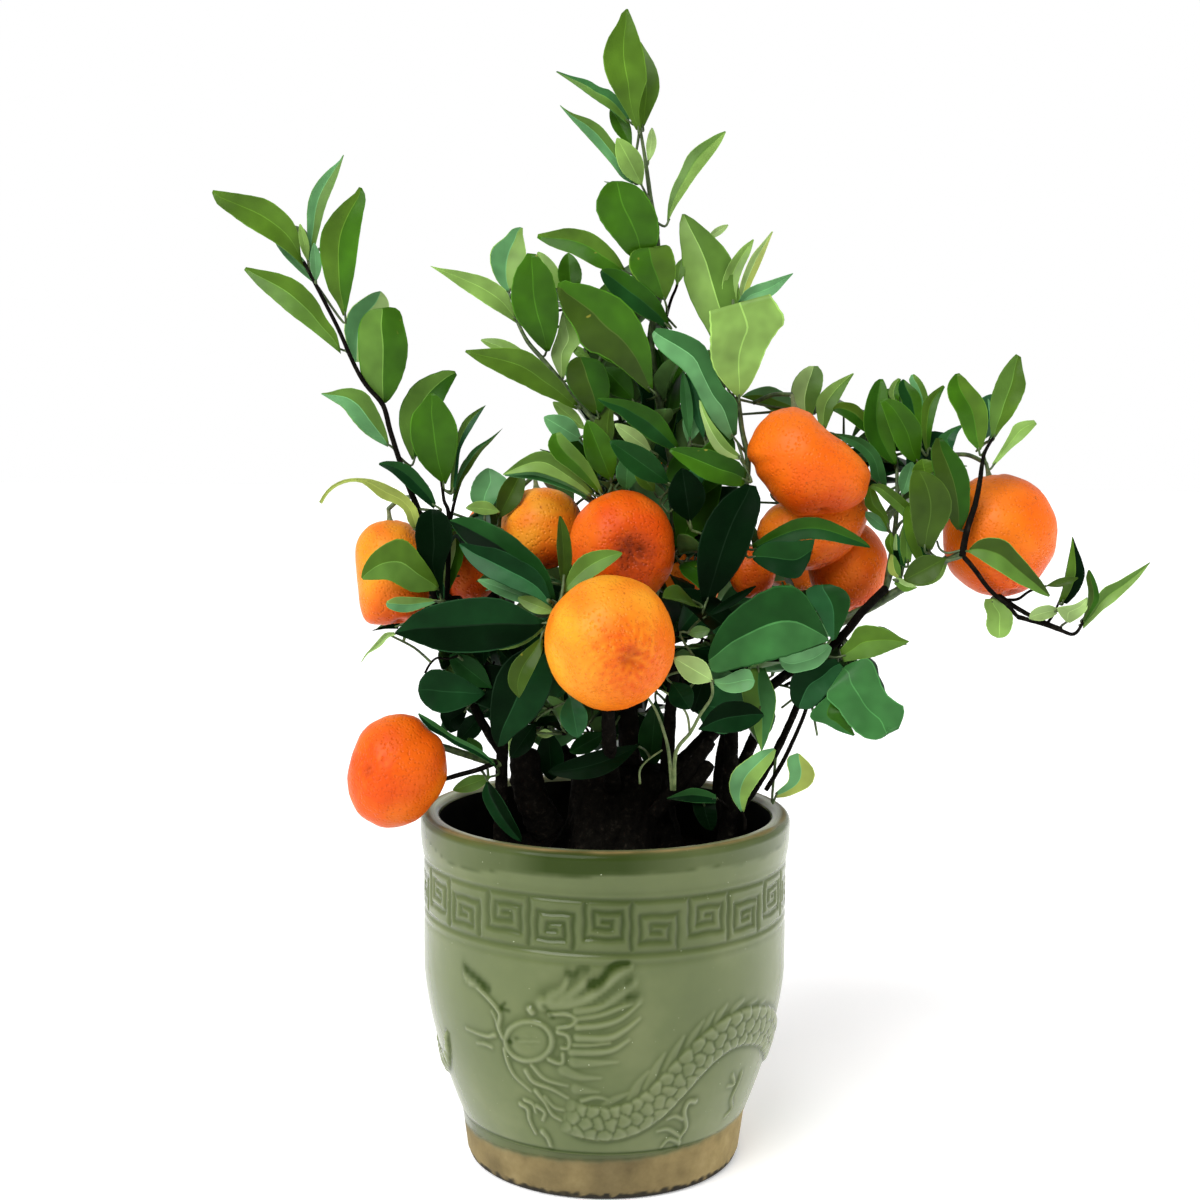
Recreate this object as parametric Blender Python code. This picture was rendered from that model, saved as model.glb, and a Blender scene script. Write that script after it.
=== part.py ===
"""A potted mandarin orange tree, about 0.6 m tall and 0.5 m wide, in its glazed pot.

The origin is the centre of the pot's flat underside. +X is to the right of someone who faces the
tree, +Y is away from them and +Z is up. Every length is in metres.
"""

import itertools
import math
import random
from collections import namedtuple

import bmesh
import bpy
from mathutils import Matrix, Vector
from mathutils.bvhtree import BVHTree

# Driving dimensions of the pot
POT_HEIGHT = 0.189
LIP_RADIUS = 0.100
LIP_DEPTH = 0.020
LIP_ROUNDING = 0.004
LIP_SLOPE = 0.005
OPENING_RADIUS = 0.089
WALL_RADIUS = 0.0975
WALL_THICKNESS = 0.0085
BELLY_TOP = 0.108
FOOT_TOP = 0.026
FOOT_TOP_RADIUS = 0.077
FOOT_RADIUS = 0.0735
FOOT_ROUNDING = 0.004
BELLY_POWER = 1.6
BELLY_STEPS = 5
FLOOR_THICKNESS = 0.012
INNER_WALL_HEIGHTS = (BELLY_TOP, 0.075, 0.045, FOOT_TOP)
POT_STEPS = 40
SOIL_STEPS = 24

# The soil fills the pot to this height, and dips at its edge; it stays this far from the wall
SOIL_TOP = 0.160
SOIL_EDGE_DIP = 0.003
SOIL_EDGE_WIDTH = 0.010
SOIL_SLACK = 0.0012

# Clearance that pieces keep where they meet
GAP = 0.0003
CUTTER_GROWTH = 0.0006
STEM_FOOT = SOIL_TOP + GAP

# The trunk is a short pruned stump, wider across than deep
TRUNK_FOOT = Vector((0.006, 0.006, STEM_FOOT))
TRUNK_TOP = Vector((0.010, 0.008, 0.2105))
TRUNK_TOP_RADIUS = 0.027
TRUNK_FLARE = 0.009
TRUNK_DEPTH_SHARE = 0.78
TRUNK_DOME = 0.002
TRUNK_SIDES = 20
TRUNK_RINGS = 9
ROOT_COUNT = 6
ROOT_RELIEF = 0.16
ROOT_TURN = 0.6
WAIST_RELIEF = 0.05
FLARE_POWER = 2.4

LIMB_SIDES = 8
LIMB_RINGS = 6
STEM_FLARE_POWER = 9
THINNEST_BARKED_RADIUS = 0.0024

# A mass of leaves is a sphere of this many sides and rings, made uneven by rounded lobes
MASS_SIDES = 13
MASS_RINGS = 9
LOBES = 9
LOBE_HEIGHT = 0.34
LOBE_SHARPNESS = 7.0

BARK_BROWN = (0.055, 0.042, 0.030)
TWIG_GREEN = (0.105, 0.125, 0.055)
LEAF_GREEN = (0.040, 0.135, 0.030)
CELADON = (0.235, 0.290, 0.175)
POTTING_SOIL = (0.030, 0.022, 0.016)

# A limb runs from start to end, bowed aside in its middle, and is cut where it meets each neighbour
Limb = namedtuple("Limb", "name start end bow foot_radius tip_radius flare neighbours")

LIMBS = (
    Limb("stem_left", (-0.055, -0.018, STEM_FOOT), (-0.0535, -0.020, 0.2420), (-0.001, 0, 0),
         0.0040, 0.0029, 0.0045, ("foliage_low_left",)),
    Limb("stem_right", (0.064, -0.008, STEM_FOOT), (0.0665, -0.002, 0.2500), (0.0015, 0, 0),
         0.0046, 0.0036, 0.0050, ("foliage_low_right",)),
    Limb("stem_middle", (0.033, 0.004, 0.195), (0.0370, 0.000, 0.2700), (-0.001, 0, 0),
         0.0042, 0.0028, 0, ("trunk", "foliage_core")),
    Limb("stub_left", (-0.030, -0.006, 0.178), (-0.043, -0.013, 0.2225), (-0.004, 0, 0),
         0.0100, 0.0078, 0, ("trunk",)),
    Limb("stub_right", (0.026, -0.016, 0.190), (0.0545, -0.024, 0.2310), (0.001, 0, 0),
         0.0042, 0.0034, 0, ("trunk",)),
    Limb("stub_short", (0.030, -0.014, 0.196), (0.0535, -0.022, 0.2185), (0.003, 0, -0.002),
         0.0044, 0.0040, 0, ("trunk", "stub_right")),
    Limb("bough_front", (0.004, -0.004, 0.200), (0.000, -0.066, 0.2700), (0, -0.008, -0.006),
         0.0050, 0.0030, 0, ("trunk", "foliage_front")),
    Limb("bough_centre", (0.012, 0.010, 0.200), (0.004, 0.016, 0.2720), (0.004, 0, 0),
         0.0065, 0.0048, 0, ("trunk", "foliage_core")),
    Limb("bough_back", (0.014, 0.020, 0.198), (0.020, 0.100, 0.3000), (0, 0.010, -0.012),
         0.0058, 0.0038, 0, ("trunk", "foliage_back")),
    Limb("bough_back_left", (-0.006, 0.016, 0.198), (-0.066, 0.078, 0.3000), (-0.008, 0.008, -0.010),
         0.0052, 0.0036, 0, ("trunk", "foliage_back_left")),
    Limb("bough_back_right", (0.026, 0.016, 0.198), (0.098, 0.070, 0.2950), (0.008, 0.008, -0.010),
         0.0052, 0.0036, 0, ("trunk", "foliage_back_right")),
    Limb("bough_left", (-0.0540, -0.0195, 0.222), (-0.0740, -0.0215, 0.2600), (-0.002, 0, 0),
         0.0026, 0.0022, 0, ("stem_left", "foliage_low_left")),
    Limb("bough_left_side", (-0.0540, -0.0195, 0.2165), (-0.1050, -0.050, 0.2400), (0, 0, -0.001),
         0.0022, 0.0016, 0, ("stem_left", "foliage_low_left", "foliage_hanging_left")),
    Limb("stem_right_leaning", (0.0650, -0.006, 0.200), (0.0880, 0.010, 0.2520), (0.002, 0, -0.001),
         0.0034, 0.0028, 0, ("stem_right", "foliage_low_right")),
    Limb("stem_right_slim", (0.0645, -0.008, 0.182), (0.1030, -0.022, 0.2580), (0.002, -0.004, -0.003),
         0.0026, 0.0018, 0, ("stem_right", "foliage_low_right")),
    Limb("bough_right", (0.120, -0.002, 0.290), (0.1800, -0.003, 0.3260), (0, 0, -0.002),
         0.0030, 0.0022, 0, ("foliage_low_right", "foliage_right", "foliage_right_bough")),
    Limb("bough_right_hanging", (0.186, -0.008, 0.328), (0.2400, -0.010, 0.2900), (-0.003, 0, -0.004),
         0.0016, 0.0011, 0, ("foliage_right_bough", "foliage_right_tip")),
)

# A mass of foliage: its centre, its half sizes across, front to back and up, its lean to the right in
# degrees, the share by which its top is narrower than its middle, and the seed of its lobes
Mass = namedtuple("Mass", "name centre half_sizes lean taper seed")

MASSES = (
    Mass("foliage_centre_tip", (0.018, 0.000, 0.548), (0.043, 0.026, 0.059), 0, 0.25, 17),
    Mass("foliage_centre_upper", (0.010, 0.002, 0.463), (0.054, 0.036, 0.046), 0, -0.1, 24),
    Mass("foliage_centre_right", (0.071, -0.016, 0.440), (0.026, 0.026, 0.056), 6, -0.05, 52),
    Mass("foliage_centre_left", (-0.044, 0.008, 0.437), (0.049, 0.034, 0.061), -3, 0.05, 59),
    Mass("foliage_centre", (0.020, -0.006, 0.388), (0.054, 0.046, 0.042), 0, 0, 55),
    Mass("foliage_left_tip", (-0.163, 0.000, 0.484), (0.043, 0.018, 0.049), -12, -0.05, 86),
    Mass("foliage_left_leader", (-0.103, 0.000, 0.400), (0.046, 0.022, 0.060), -5, -0.2, 45),
    Mass("foliage_left", (-0.093, 0.006, 0.312), (0.044, 0.038, 0.039), 10, 0, 27),
    Mass("foliage_front_left", (-0.063, -0.062, 0.306), (0.042, 0.024, 0.032), 4, 0, 26),
    Mass("foliage_low_left", (-0.062, -0.030, 0.258), (0.043, 0.038, 0.026), -7, 0, 69),
    Mass("foliage_hanging_left", (-0.108, -0.053, 0.2205), (0.028, 0.026, 0.031), 3, 0, 97),
    Mass("foliage_front", (0.002, -0.086, 0.286), (0.046, 0.036, 0.044), 0, 0, 12),
    Mass("foliage_middle", (-0.004, -0.008, 0.334), (0.056, 0.046, 0.036), 0, 0, 13),
    Mass("foliage_core", (0.008, 0.026, 0.278), (0.056, 0.046, 0.030), 0, 0, 14),
    Mass("foliage_front_right", (0.072, -0.066, 0.302), (0.044, 0.026, 0.046), 0, 0, 15),
    Mass("foliage_right", (0.114, -0.004, 0.357), (0.049, 0.038, 0.062), -7, -0.1, 94),
    Mass("foliage_right_upper", (0.134, 0.030, 0.396), (0.049, 0.026, 0.030), 0, -0.2, 20),
    Mass("foliage_low_right", (0.109, -0.022, 0.264), (0.053, 0.042, 0.041), -4, 0, 28),
    Mass("foliage_right_bough", (0.196, -0.004, 0.365), (0.041, 0.026, 0.073), -2, 0.15, 69),
    Mass("foliage_right_tip", (0.250, -0.010, 0.312), (0.037, 0.014, 0.024), -7, -0.3, 31),
    Mass("foliage_back_upper", (0.030, 0.058, 0.412), (0.052, 0.034, 0.050), 0, 0, 21),
    Mass("foliage_back_left", (-0.074, 0.084, 0.324), (0.050, 0.046, 0.056), 0, 0, 22),
    Mass("foliage_back", (0.018, 0.112, 0.328), (0.054, 0.046, 0.060), 0, 0, 23),
    Mass("foliage_back_right", (0.102, 0.080, 0.322), (0.050, 0.046, 0.052), 0, 0, 24),
)


def clear_scene():
    for obj in list(bpy.data.objects):
        bpy.data.objects.remove(obj)


def material(name, colour, roughness):
    made = bpy.data.materials.new(name)
    made.use_nodes = True
    shader = made.node_tree.nodes["Principled BSDF"]
    shader.inputs["Base Color"].default_value = (*colour, 1.0)
    shader.inputs["Roughness"].default_value = roughness
    shader.inputs["Metallic"].default_value = 0.0
    return made


def add_object(name, shape, colour, roughness):
    """Turns a bmesh into a smoothly shaded object with a material of its own."""
    bmesh.ops.recalc_face_normals(shape, faces=shape.faces)
    mesh = bpy.data.meshes.new(name)
    shape.to_mesh(mesh)
    shape.free()
    mesh.materials.append(material(name + "_material", colour, roughness))
    mesh.shade_smooth()
    mesh.set_sharp_from_angle(angle=math.radians(40))
    obj = bpy.data.objects.new(name, mesh)
    bpy.context.scene.collection.objects.link(obj)
    return obj


def turned(profile, steps):
    """A solid of revolution about Z. The profile's first and last points lie on the axis."""
    shape = bmesh.new()
    rings = []
    for radius, height in profile[1:-1]:
        angles = (2 * math.pi * step / steps for step in range(steps))
        ring = [shape.verts.new((radius * math.cos(a), radius * math.sin(a), height)) for a in angles]
        rings.append(ring)
    for lower, upper in zip(rings, rings[1:]):
        join_rings(shape, lower, upper)
    for ring, (_, height) in ((rings[0], profile[0]), (rings[-1], profile[-1])):
        cap_ring(shape, ring, Vector((0, 0, height)))
    return shape


def join_rings(shape, lower, upper):
    count = len(lower)
    for i in range(count):
        j = (i + 1) % count
        shape.faces.new((lower[i], lower[j], upper[j], upper[i]))


def cap_ring(shape, ring, centre):
    middle = shape.verts.new(centre)
    for i, corner in enumerate(ring):
        shape.faces.new((corner, ring[(i + 1) % len(ring)], middle))


def belly_radius(height):
    """The outside of the wall: upright above the belly, tucked in below it, then the foot."""
    if height >= BELLY_TOP:
        return WALL_RADIUS
    if height >= FOOT_TOP:
        share = (BELLY_TOP - height) / (BELLY_TOP - FOOT_TOP)
        return WALL_RADIUS - (WALL_RADIUS - FOOT_TOP_RADIUS) * share**BELLY_POWER
    return FOOT_RADIUS + (FOOT_TOP_RADIUS - FOOT_RADIUS) * height / FOOT_TOP


def inner_radius(height):
    return min(OPENING_RADIUS, belly_radius(height) - WALL_THICKNESS)


def rounded_corner(centre_radius, centre_height, rounding, start, end):
    """Points on a quarter arc, its angles in degrees from +radius towards +height."""
    for share in (0, 0.5, 1):
        angle = math.radians(start + (end - start) * share)
        yield (centre_radius + rounding * math.cos(angle), centre_height + rounding * math.sin(angle))


def build_pot():
    lip_foot = POT_HEIGHT - LIP_DEPTH
    lip_centre = (LIP_RADIUS - LIP_ROUNDING, POT_HEIGHT - LIP_ROUNDING)
    outside = [(0, 0)]
    outside += rounded_corner(FOOT_RADIUS - FOOT_ROUNDING, FOOT_ROUNDING, FOOT_ROUNDING, -90, 0)
    outside.append((FOOT_TOP_RADIUS, FOOT_TOP))
    for step in range(1, BELLY_STEPS + 1):
        height = FOOT_TOP + (BELLY_TOP - FOOT_TOP) * step / BELLY_STEPS
        outside.append((belly_radius(height), height))
    outside.append((WALL_RADIUS, lip_foot - LIP_SLOPE / 2))
    outside.append((LIP_RADIUS, lip_foot + LIP_SLOPE / 2))
    outside += rounded_corner(*lip_centre, LIP_ROUNDING, 0, 90)
    inside = [(OPENING_RADIUS, POT_HEIGHT - LIP_ROUNDING / 2)]
    inside += [(inner_radius(height), height) for height in INNER_WALL_HEIGHTS]
    inside.append((inner_radius(FLOOR_THICKNESS), FLOOR_THICKNESS))
    inside.append((0, FLOOR_THICKNESS))
    return add_object("pot", turned(outside + inside, POT_STEPS), CELADON, 0.25)


def build_soil():
    """Damp soil from the pot's floor almost to its lip, a little lower at the wall."""
    floor = FLOOR_THICKNESS + GAP
    profile = [(0, floor)]
    for height in (floor, *reversed(INNER_WALL_HEIGHTS), SOIL_TOP - SOIL_EDGE_DIP):
        profile.append((inner_radius(height) - SOIL_SLACK, height))
    profile.append((inner_radius(SOIL_TOP) - SOIL_EDGE_WIDTH, SOIL_TOP))
    profile.append((0, SOIL_TOP))
    return add_object("soil", turned(profile, SOIL_STEPS), POTTING_SOIL, 0.95)


def build_trunk():
    """The stump: buttressed at the soil by spreading roots, leaning a little, pruned off level."""
    shape = bmesh.new()
    rings = []
    for step in range(TRUNK_RINGS):
        share = step / (TRUNK_RINGS - 1)
        centre = TRUNK_FOOT.lerp(TRUNK_TOP, share)
        flare = (1 - share) ** FLARE_POWER
        ring = []
        for side in range(TRUNK_SIDES):
            angle = 2 * math.pi * side / TRUNK_SIDES
            roots = ROOT_RELIEF * flare * math.cos(ROOT_COUNT * angle + ROOT_TURN)
            waist = WAIST_RELIEF * math.sin(3 * angle + 5 * share)
            radius = (TRUNK_TOP_RADIUS + TRUNK_FLARE * flare) * (1 + roots + waist)
            across = radius * math.cos(angle)
            deep = radius * math.sin(angle) * TRUNK_DEPTH_SHARE
            ring.append(shape.verts.new(centre + Vector((across, deep, 0))))
        rings.append(ring)
    for lower, upper in zip(rings, rings[1:]):
        join_rings(shape, lower, upper)
    cap_ring(shape, rings[0], TRUNK_FOOT)
    cap_ring(shape, rings[-1], TRUNK_TOP + Vector((0, 0, TRUNK_DOME)))
    return add_object("trunk", shape, BARK_BROWN, 0.85)


def point_on(limb, share):
    """A point on the limb's centre line, which bows aside most at half its length."""
    straight = Vector(limb.start).lerp(Vector(limb.end), share)
    return straight + Vector(limb.bow) * (4 * share * (1 - share))


def build_limb(limb, solids):
    shape = bmesh.new()
    rings = []
    for step in range(LIMB_RINGS):
        share = step / (LIMB_RINGS - 1)
        along = (point_on(limb, share + 0.01) - point_on(limb, share - 0.01)).normalized()
        if limb.flare and step == 0:
            along = Vector((0, 0, 1))
        aside = along.cross(Vector((0, 1, 0))).normalized()
        radius = limb.foot_radius + (limb.tip_radius - limb.foot_radius) * share
        radius += limb.flare * (1 - share) ** STEM_FLARE_POWER
        centre = point_on(limb, share)
        ring = []
        for side in range(LIMB_SIDES):
            turn = Matrix.Rotation(2 * math.pi * side / LIMB_SIDES, 3, along)
            ring.append(shape.verts.new(centre + turn @ aside * radius))
        rings.append(ring)
    for lower, upper in zip(rings, rings[1:]):
        join_rings(shape, lower, upper)
    cap_ring(shape, rings[0], point_on(limb, 0))
    cap_ring(shape, rings[-1], point_on(limb, 1))
    colour = BARK_BROWN if limb.foot_radius > THINNEST_BARKED_RADIUS else TWIG_GREEN
    obj = add_object(limb.name, shape, colour, 0.8)
    for neighbour in limb.neighbours:
        cut_clear(obj, solids[neighbour])
    return obj


def cut_clear(obj, neighbour):
    """Cuts the object back from its neighbour, with clearance, by a grown copy of the neighbour."""
    name = neighbour.name + "_clearance"
    grown = bpy.data.objects.get(name)
    if grown is None:
        grown = neighbour.copy()
        grown.name = name
        grown.data = neighbour.data.copy()
        grown.hide_render = True
        grown.display_type = "WIRE"
        normals = [vertex.normal.copy() for vertex in grown.data.vertices]
        for vertex, normal in zip(grown.data.vertices, normals):
            vertex.co += normal * CUTTER_GROWTH
        bpy.context.scene.collection.objects.link(grown)
    cut = obj.modifiers.new("clear of " + neighbour.name, "BOOLEAN")
    cut.operation = "DIFFERENCE"
    cut.solver = "EXACT"
    cut.object = grown


def leafy_blob(mass):
    """A closed uneven solid whose overall half sizes are those of the mass, before its lean."""
    chance = random.Random(mass.seed)
    lobes = []
    for _ in range(LOBES):
        lobes.append(Vector([chance.gauss(0, 1) for _ in range(3)]).normalized())
    shape = bmesh.new()
    bmesh.ops.create_uvsphere(shape, u_segments=MASS_SIDES, v_segments=MASS_RINGS, radius=1.0)
    for vertex in shape.verts:
        direction = vertex.co.normalized()
        swell = sum(math.exp(LOBE_SHARPNESS * (direction.dot(lobe) - 1)) for lobe in lobes)
        vertex.co = direction * (1 + LOBE_HEIGHT * swell)
        narrowing = 1 - mass.taper * direction.z
        vertex.co.x *= narrowing
        vertex.co.y *= narrowing
    lean = Matrix.Rotation(math.radians(mass.lean), 3, "Y")
    low = [min(vertex.co[axis] for vertex in shape.verts) for axis in range(3)]
    high = [max(vertex.co[axis] for vertex in shape.verts) for axis in range(3)]
    for vertex in shape.verts:
        spread = [2 * (vertex.co[axis] - low[axis]) / (high[axis] - low[axis]) - 1 for axis in range(3)]
        across = Vector([share * half for share, half in zip(spread, mass.half_sizes)])
        vertex.co = Vector(mass.centre) + lean @ across
    return shape


def reach(shape, centre, direction):
    return max((vertex.co - centre).dot(direction) for vertex in shape.verts)


def trim(shape, point, outward):
    """Cuts off what lies beyond a plane and closes the cut."""
    geometry = shape.verts[:] + shape.edges[:] + shape.faces[:]
    bmesh.ops.bisect_plane(shape, geom=geometry, plane_co=point, plane_no=outward, clear_outer=True)
    rim = [edge for edge in shape.edges if edge.is_boundary]
    bmesh.ops.holes_fill(shape, edges=rim, sides=0)


def part_masses(shapes):
    """Where two masses would run into each other, each is trimmed at the plane halfway between."""
    for first, second in itertools.combinations(MASSES, 2):
        one, other = shapes[first.name], shapes[second.name]
        if not BVHTree.FromBMesh(one, epsilon=GAP).overlap(BVHTree.FromBMesh(other, epsilon=GAP)):
            continue
        start, end = Vector(first.centre), Vector(second.centre)
        toward = (end - start).normalized()
        distance = (end - start).length
        near, far = reach(one, start, toward), reach(other, end, -toward)
        middle = start + toward * (near - (near + far - distance) / 2)
        trim(one, middle - toward * GAP, toward)
        trim(other, middle + toward * GAP, -toward)


def build_masses():
    shapes = {}
    for mass in MASSES:
        shapes[mass.name] = leafy_blob(mass)
    part_masses(shapes)
    return {name: add_object(name, shape, LEAF_GREEN, 0.6) for name, shape in shapes.items()}


def build_tree():
    clear_scene()
    build_pot()
    build_soil()
    solids = build_masses()
    solids["trunk"] = build_trunk()
    for limb in LIMBS:
        solids[limb.name] = build_limb(limb, solids)


build_tree()
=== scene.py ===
import math
import random
from collections import namedtuple

import bpy
import numpy as np
from mathutils import Matrix, Vector, noise
from mathutils.bvhtree import BVHTree


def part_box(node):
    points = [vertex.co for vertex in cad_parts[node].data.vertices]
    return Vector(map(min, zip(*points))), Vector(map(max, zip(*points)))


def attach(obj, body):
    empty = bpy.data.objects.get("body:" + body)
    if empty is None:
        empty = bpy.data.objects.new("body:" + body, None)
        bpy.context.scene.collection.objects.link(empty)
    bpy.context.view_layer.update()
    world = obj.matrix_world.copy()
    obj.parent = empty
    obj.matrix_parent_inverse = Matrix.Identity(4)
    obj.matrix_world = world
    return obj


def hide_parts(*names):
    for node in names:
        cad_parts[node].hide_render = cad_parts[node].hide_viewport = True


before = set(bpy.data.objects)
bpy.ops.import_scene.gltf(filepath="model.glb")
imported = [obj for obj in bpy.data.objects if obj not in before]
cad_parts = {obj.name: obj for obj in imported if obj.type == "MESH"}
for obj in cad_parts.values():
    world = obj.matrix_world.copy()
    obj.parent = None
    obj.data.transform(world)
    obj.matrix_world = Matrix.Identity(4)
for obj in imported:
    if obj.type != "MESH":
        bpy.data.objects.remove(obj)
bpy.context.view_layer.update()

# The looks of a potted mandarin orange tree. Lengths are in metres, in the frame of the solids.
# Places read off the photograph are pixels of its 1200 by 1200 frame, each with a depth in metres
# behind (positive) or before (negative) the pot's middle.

# The camera that fits the photograph
PHOTO_SIZE = 1200
FOCAL_PIXELS = 1971
SENSOR_MM = 36.0
EYE = Vector((-0.0037, -1.0426, 0.4249))
PITCH = 0.117
ROLL = 0.0072

# Sizes of the pot, as in the solids
POT_HEIGHT = 0.189
LIP_RADIUS = 0.100
LIP_DEPTH = 0.020
LIP_ROUNDING = 0.004
LIP_SLOPE = 0.005
OPENING_RADIUS = 0.089
WALL_RADIUS = 0.0975
WALL_THICKNESS = 0.0085
BELLY_TOP = 0.108
FOOT_TOP = 0.026
FOOT_TOP_RADIUS = 0.077
FOOT_RADIUS = 0.0735
FOOT_ROUNDING = 0.004
BELLY_POWER = 1.6
FLOOR_THICKNESS = 0.012
SOIL_TOP = 0.160
SOIL_RADIUS = 0.0878

# Sizes of the stump, as in the solids
STEM_FOOT = 0.1603
TRUNK_FOOT = Vector((0.006, 0.006, STEM_FOOT))
TRUNK_TOP = Vector((0.010, 0.008, 0.2105))
TRUNK_TOP_RADIUS = 0.027
TRUNK_FLARE = 0.009
TRUNK_DEPTH_SHARE = 0.78
ROOT_COUNT = 6
ROOT_RELIEF = 0.16
ROOT_TURN = 0.6
WAIST_RELIEF = 0.05
FLARE_POWER = 2.4
STEM_FLARE_POWER = 9

# A leaf is a thin closed sheet: steps along it, and strips across it from edge to edge. Those
# read off the photograph are finer than the grown ones.
FINE_STEPS = 20
FINE_STRIPS = (-1.0, -0.95, -0.62, -0.30, -0.026, 0.026, 0.30, 0.62, 0.95, 1.0)
GROWN_STEPS = 12
GROWN_STRIPS = (-1.0, -0.94, -0.50, -0.035, 0.035, 0.50, 0.94, 1.0)
BLADE_ARCH = 0.05
LEAF_THICKNESS = 0.00032
EDGE_THICKNESS = 0.00014
VEINS = 7


def camera_axes():
    forward = Vector((0, math.cos(PITCH), -math.sin(PITCH)))
    level_up = Vector((0, math.sin(PITCH), math.cos(PITCH)))
    level_right = Vector((1, 0, 0))
    right = level_right * math.cos(ROLL) + level_up * math.sin(ROLL)
    up = level_up * math.cos(ROLL) - level_right * math.sin(ROLL)
    return right, up, forward


RIGHT, UP, FORWARD = camera_axes()


def sight(across, down):
    """The direction from the camera through a pixel of the photograph."""
    half = PHOTO_SIZE / 2
    return FORWARD + RIGHT * ((across - half) / FOCAL_PIXELS) + UP * ((half - down) / FOCAL_PIXELS)


def at(across, down, depth):
    """The place that a pixel of the photograph shows, at that depth."""
    ray = sight(across, down)
    return EYE + ray * ((depth - EYE.y) / ray.y)


def pixel_of(place):
    """The pixel of the photograph at which a place shows."""
    offset = Vector(place) - EYE
    away = offset.dot(FORWARD)
    half = PHOTO_SIZE / 2
    across = half + FOCAL_PIXELS * offset.dot(RIGHT) / away
    down = half - FOCAL_PIXELS * offset.dot(UP) / away
    return across, down


def metres_per_pixel(depth):
    return (depth - EYE.y) / FOCAL_PIXELS


def new_material(name, colour, roughness):
    made = bpy.data.materials.new(name)
    made.use_nodes = True
    shader = made.node_tree.nodes["Principled BSDF"]
    shader.inputs["Base Color"].default_value = (*colour, 1.0)
    shader.inputs["Roughness"].default_value = roughness
    return made


def add_node(made, kind, **settings):
    node = made.node_tree.nodes.new(kind)
    for key, value in settings.items():
        if key in node.inputs:
            node.inputs[key].default_value = value
        else:
            setattr(node, key, value)
    return node


def link(made, start, out_name, end, in_name):
    made.node_tree.links.new(start.outputs[out_name], end.inputs[in_name])


def shader_of(made):
    return made.node_tree.nodes["Principled BSDF"]


def noise_texture(made, scale, detail=3.0, roughness=0.55):
    place = add_node(made, "ShaderNodeTexCoord")
    texture = add_node(made, "ShaderNodeTexNoise")
    texture.inputs["Scale"].default_value = scale
    texture.inputs["Detail"].default_value = detail
    texture.inputs["Roughness"].default_value = roughness
    link(made, place, "Object", texture, "Vector")
    return texture


def colour_ramp(made, source, out_name, stops):
    ramp = add_node(made, "ShaderNodeValToRGB")
    points = ramp.color_ramp.elements
    while len(points) < len(stops):
        points.new(0.5)
    for point, (place, colour) in zip(points, stops):
        point.position = place
        point.color = (*colour, 1.0)
    link(made, source, out_name, ramp, "Fac")
    return ramp


def add_bump(made, source, out_name, strength, distance):
    bump = add_node(made, "ShaderNodeBump")
    bump.inputs["Strength"].default_value = strength
    bump.inputs["Distance"].default_value = distance
    link(made, source, out_name, bump, "Height")
    link(made, bump, "Normal", shader_of(made), "Normal")
    return bump


def scaled(colour, factor):
    return tuple(min(1.0, channel * factor) for channel in colour)


def leaf_material(name, colour, gloss, spots):
    """Waxy leaf green that varies softly over a few centimetres, with a few yellow spots."""
    made = new_material(name, colour, 0.36)
    patches = noise_texture(made, 55.0, 2.0)
    stops = [(0.30, scaled(colour, 0.70)), (0.55, colour), (0.78, scaled(colour, 1.35))]
    body = colour_ramp(made, patches, "Fac", stops)
    if spots:
        specks = noise_texture(made, 150.0, 1.0)
        mask = colour_ramp(made, specks, "Fac", [(0.765, (0, 0, 0)), (0.80, (1, 1, 1))])
        flecked = mixed(made, mask, "Color", body.outputs["Color"], (0.250, 0.230, 0.030))
        made.node_tree.links.new(flecked, shader_of(made).inputs["Base Color"])
    else:
        link(made, body, "Color", shader_of(made), "Base Color")
    pits = noise_texture(made, 900.0, 2.0)
    add_bump(made, pits, "Fac", 0.10, 0.0004)
    shader_of(made).inputs["Specular IOR Level"].default_value = gloss
    return made


# Colour and gloss of each shade of leaf; deep and dark are far darker than a leaf's own green, painted shade for
# leaves lying in shadow
LEAF_SHADES = {
    "deep": ((0.0016, 0.009, 0.0022), 0.02),
    "dark": ((0.004, 0.027, 0.0065), 0.04),
    "forest": ((0.009, 0.051, 0.009), 0.06),
    "mid": ((0.021, 0.082, 0.004), 0.09),
    "olive": ((0.036, 0.074, 0.006), 0.12),
    "blue": ((0.017, 0.088, 0.026), 0.12),
    "bright": ((0.037, 0.122, 0.004), 0.12),
    "sage": ((0.034, 0.131, 0.032), 0.12),
    "moss": ((0.069, 0.15, 0.011), 0.12),
    "fresh": ((0.095, 0.199, 0.029), 0.12),
    "pale": ((0.112, 0.295, 0.109), 0.13),
    "light": ((0.2, 0.347, 0.073), 0.13),
    "lime": ((0.3, 0.37, 0.075), 0.13),
    "silver": ((0.325, 0.485, 0.16), 0.13),
    "under": ((0.075, 0.16, 0.04), 0.16),
}
VEIN_LIGHTER = 1.6


def leaf_materials():
    made = {}
    for name, (colour, gloss) in LEAF_SHADES.items():
        made[name] = leaf_material("leaf_" + name, colour, gloss, spots=name in ("mid", "bright", "olive"))
        vein = tuple(channel * VEIN_LIGHTER + 0.004 for channel in colour)
        made[name + "_vein"] = leaf_material("leaf_" + name + "_vein", vein, gloss, spots=False)
    return made


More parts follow.
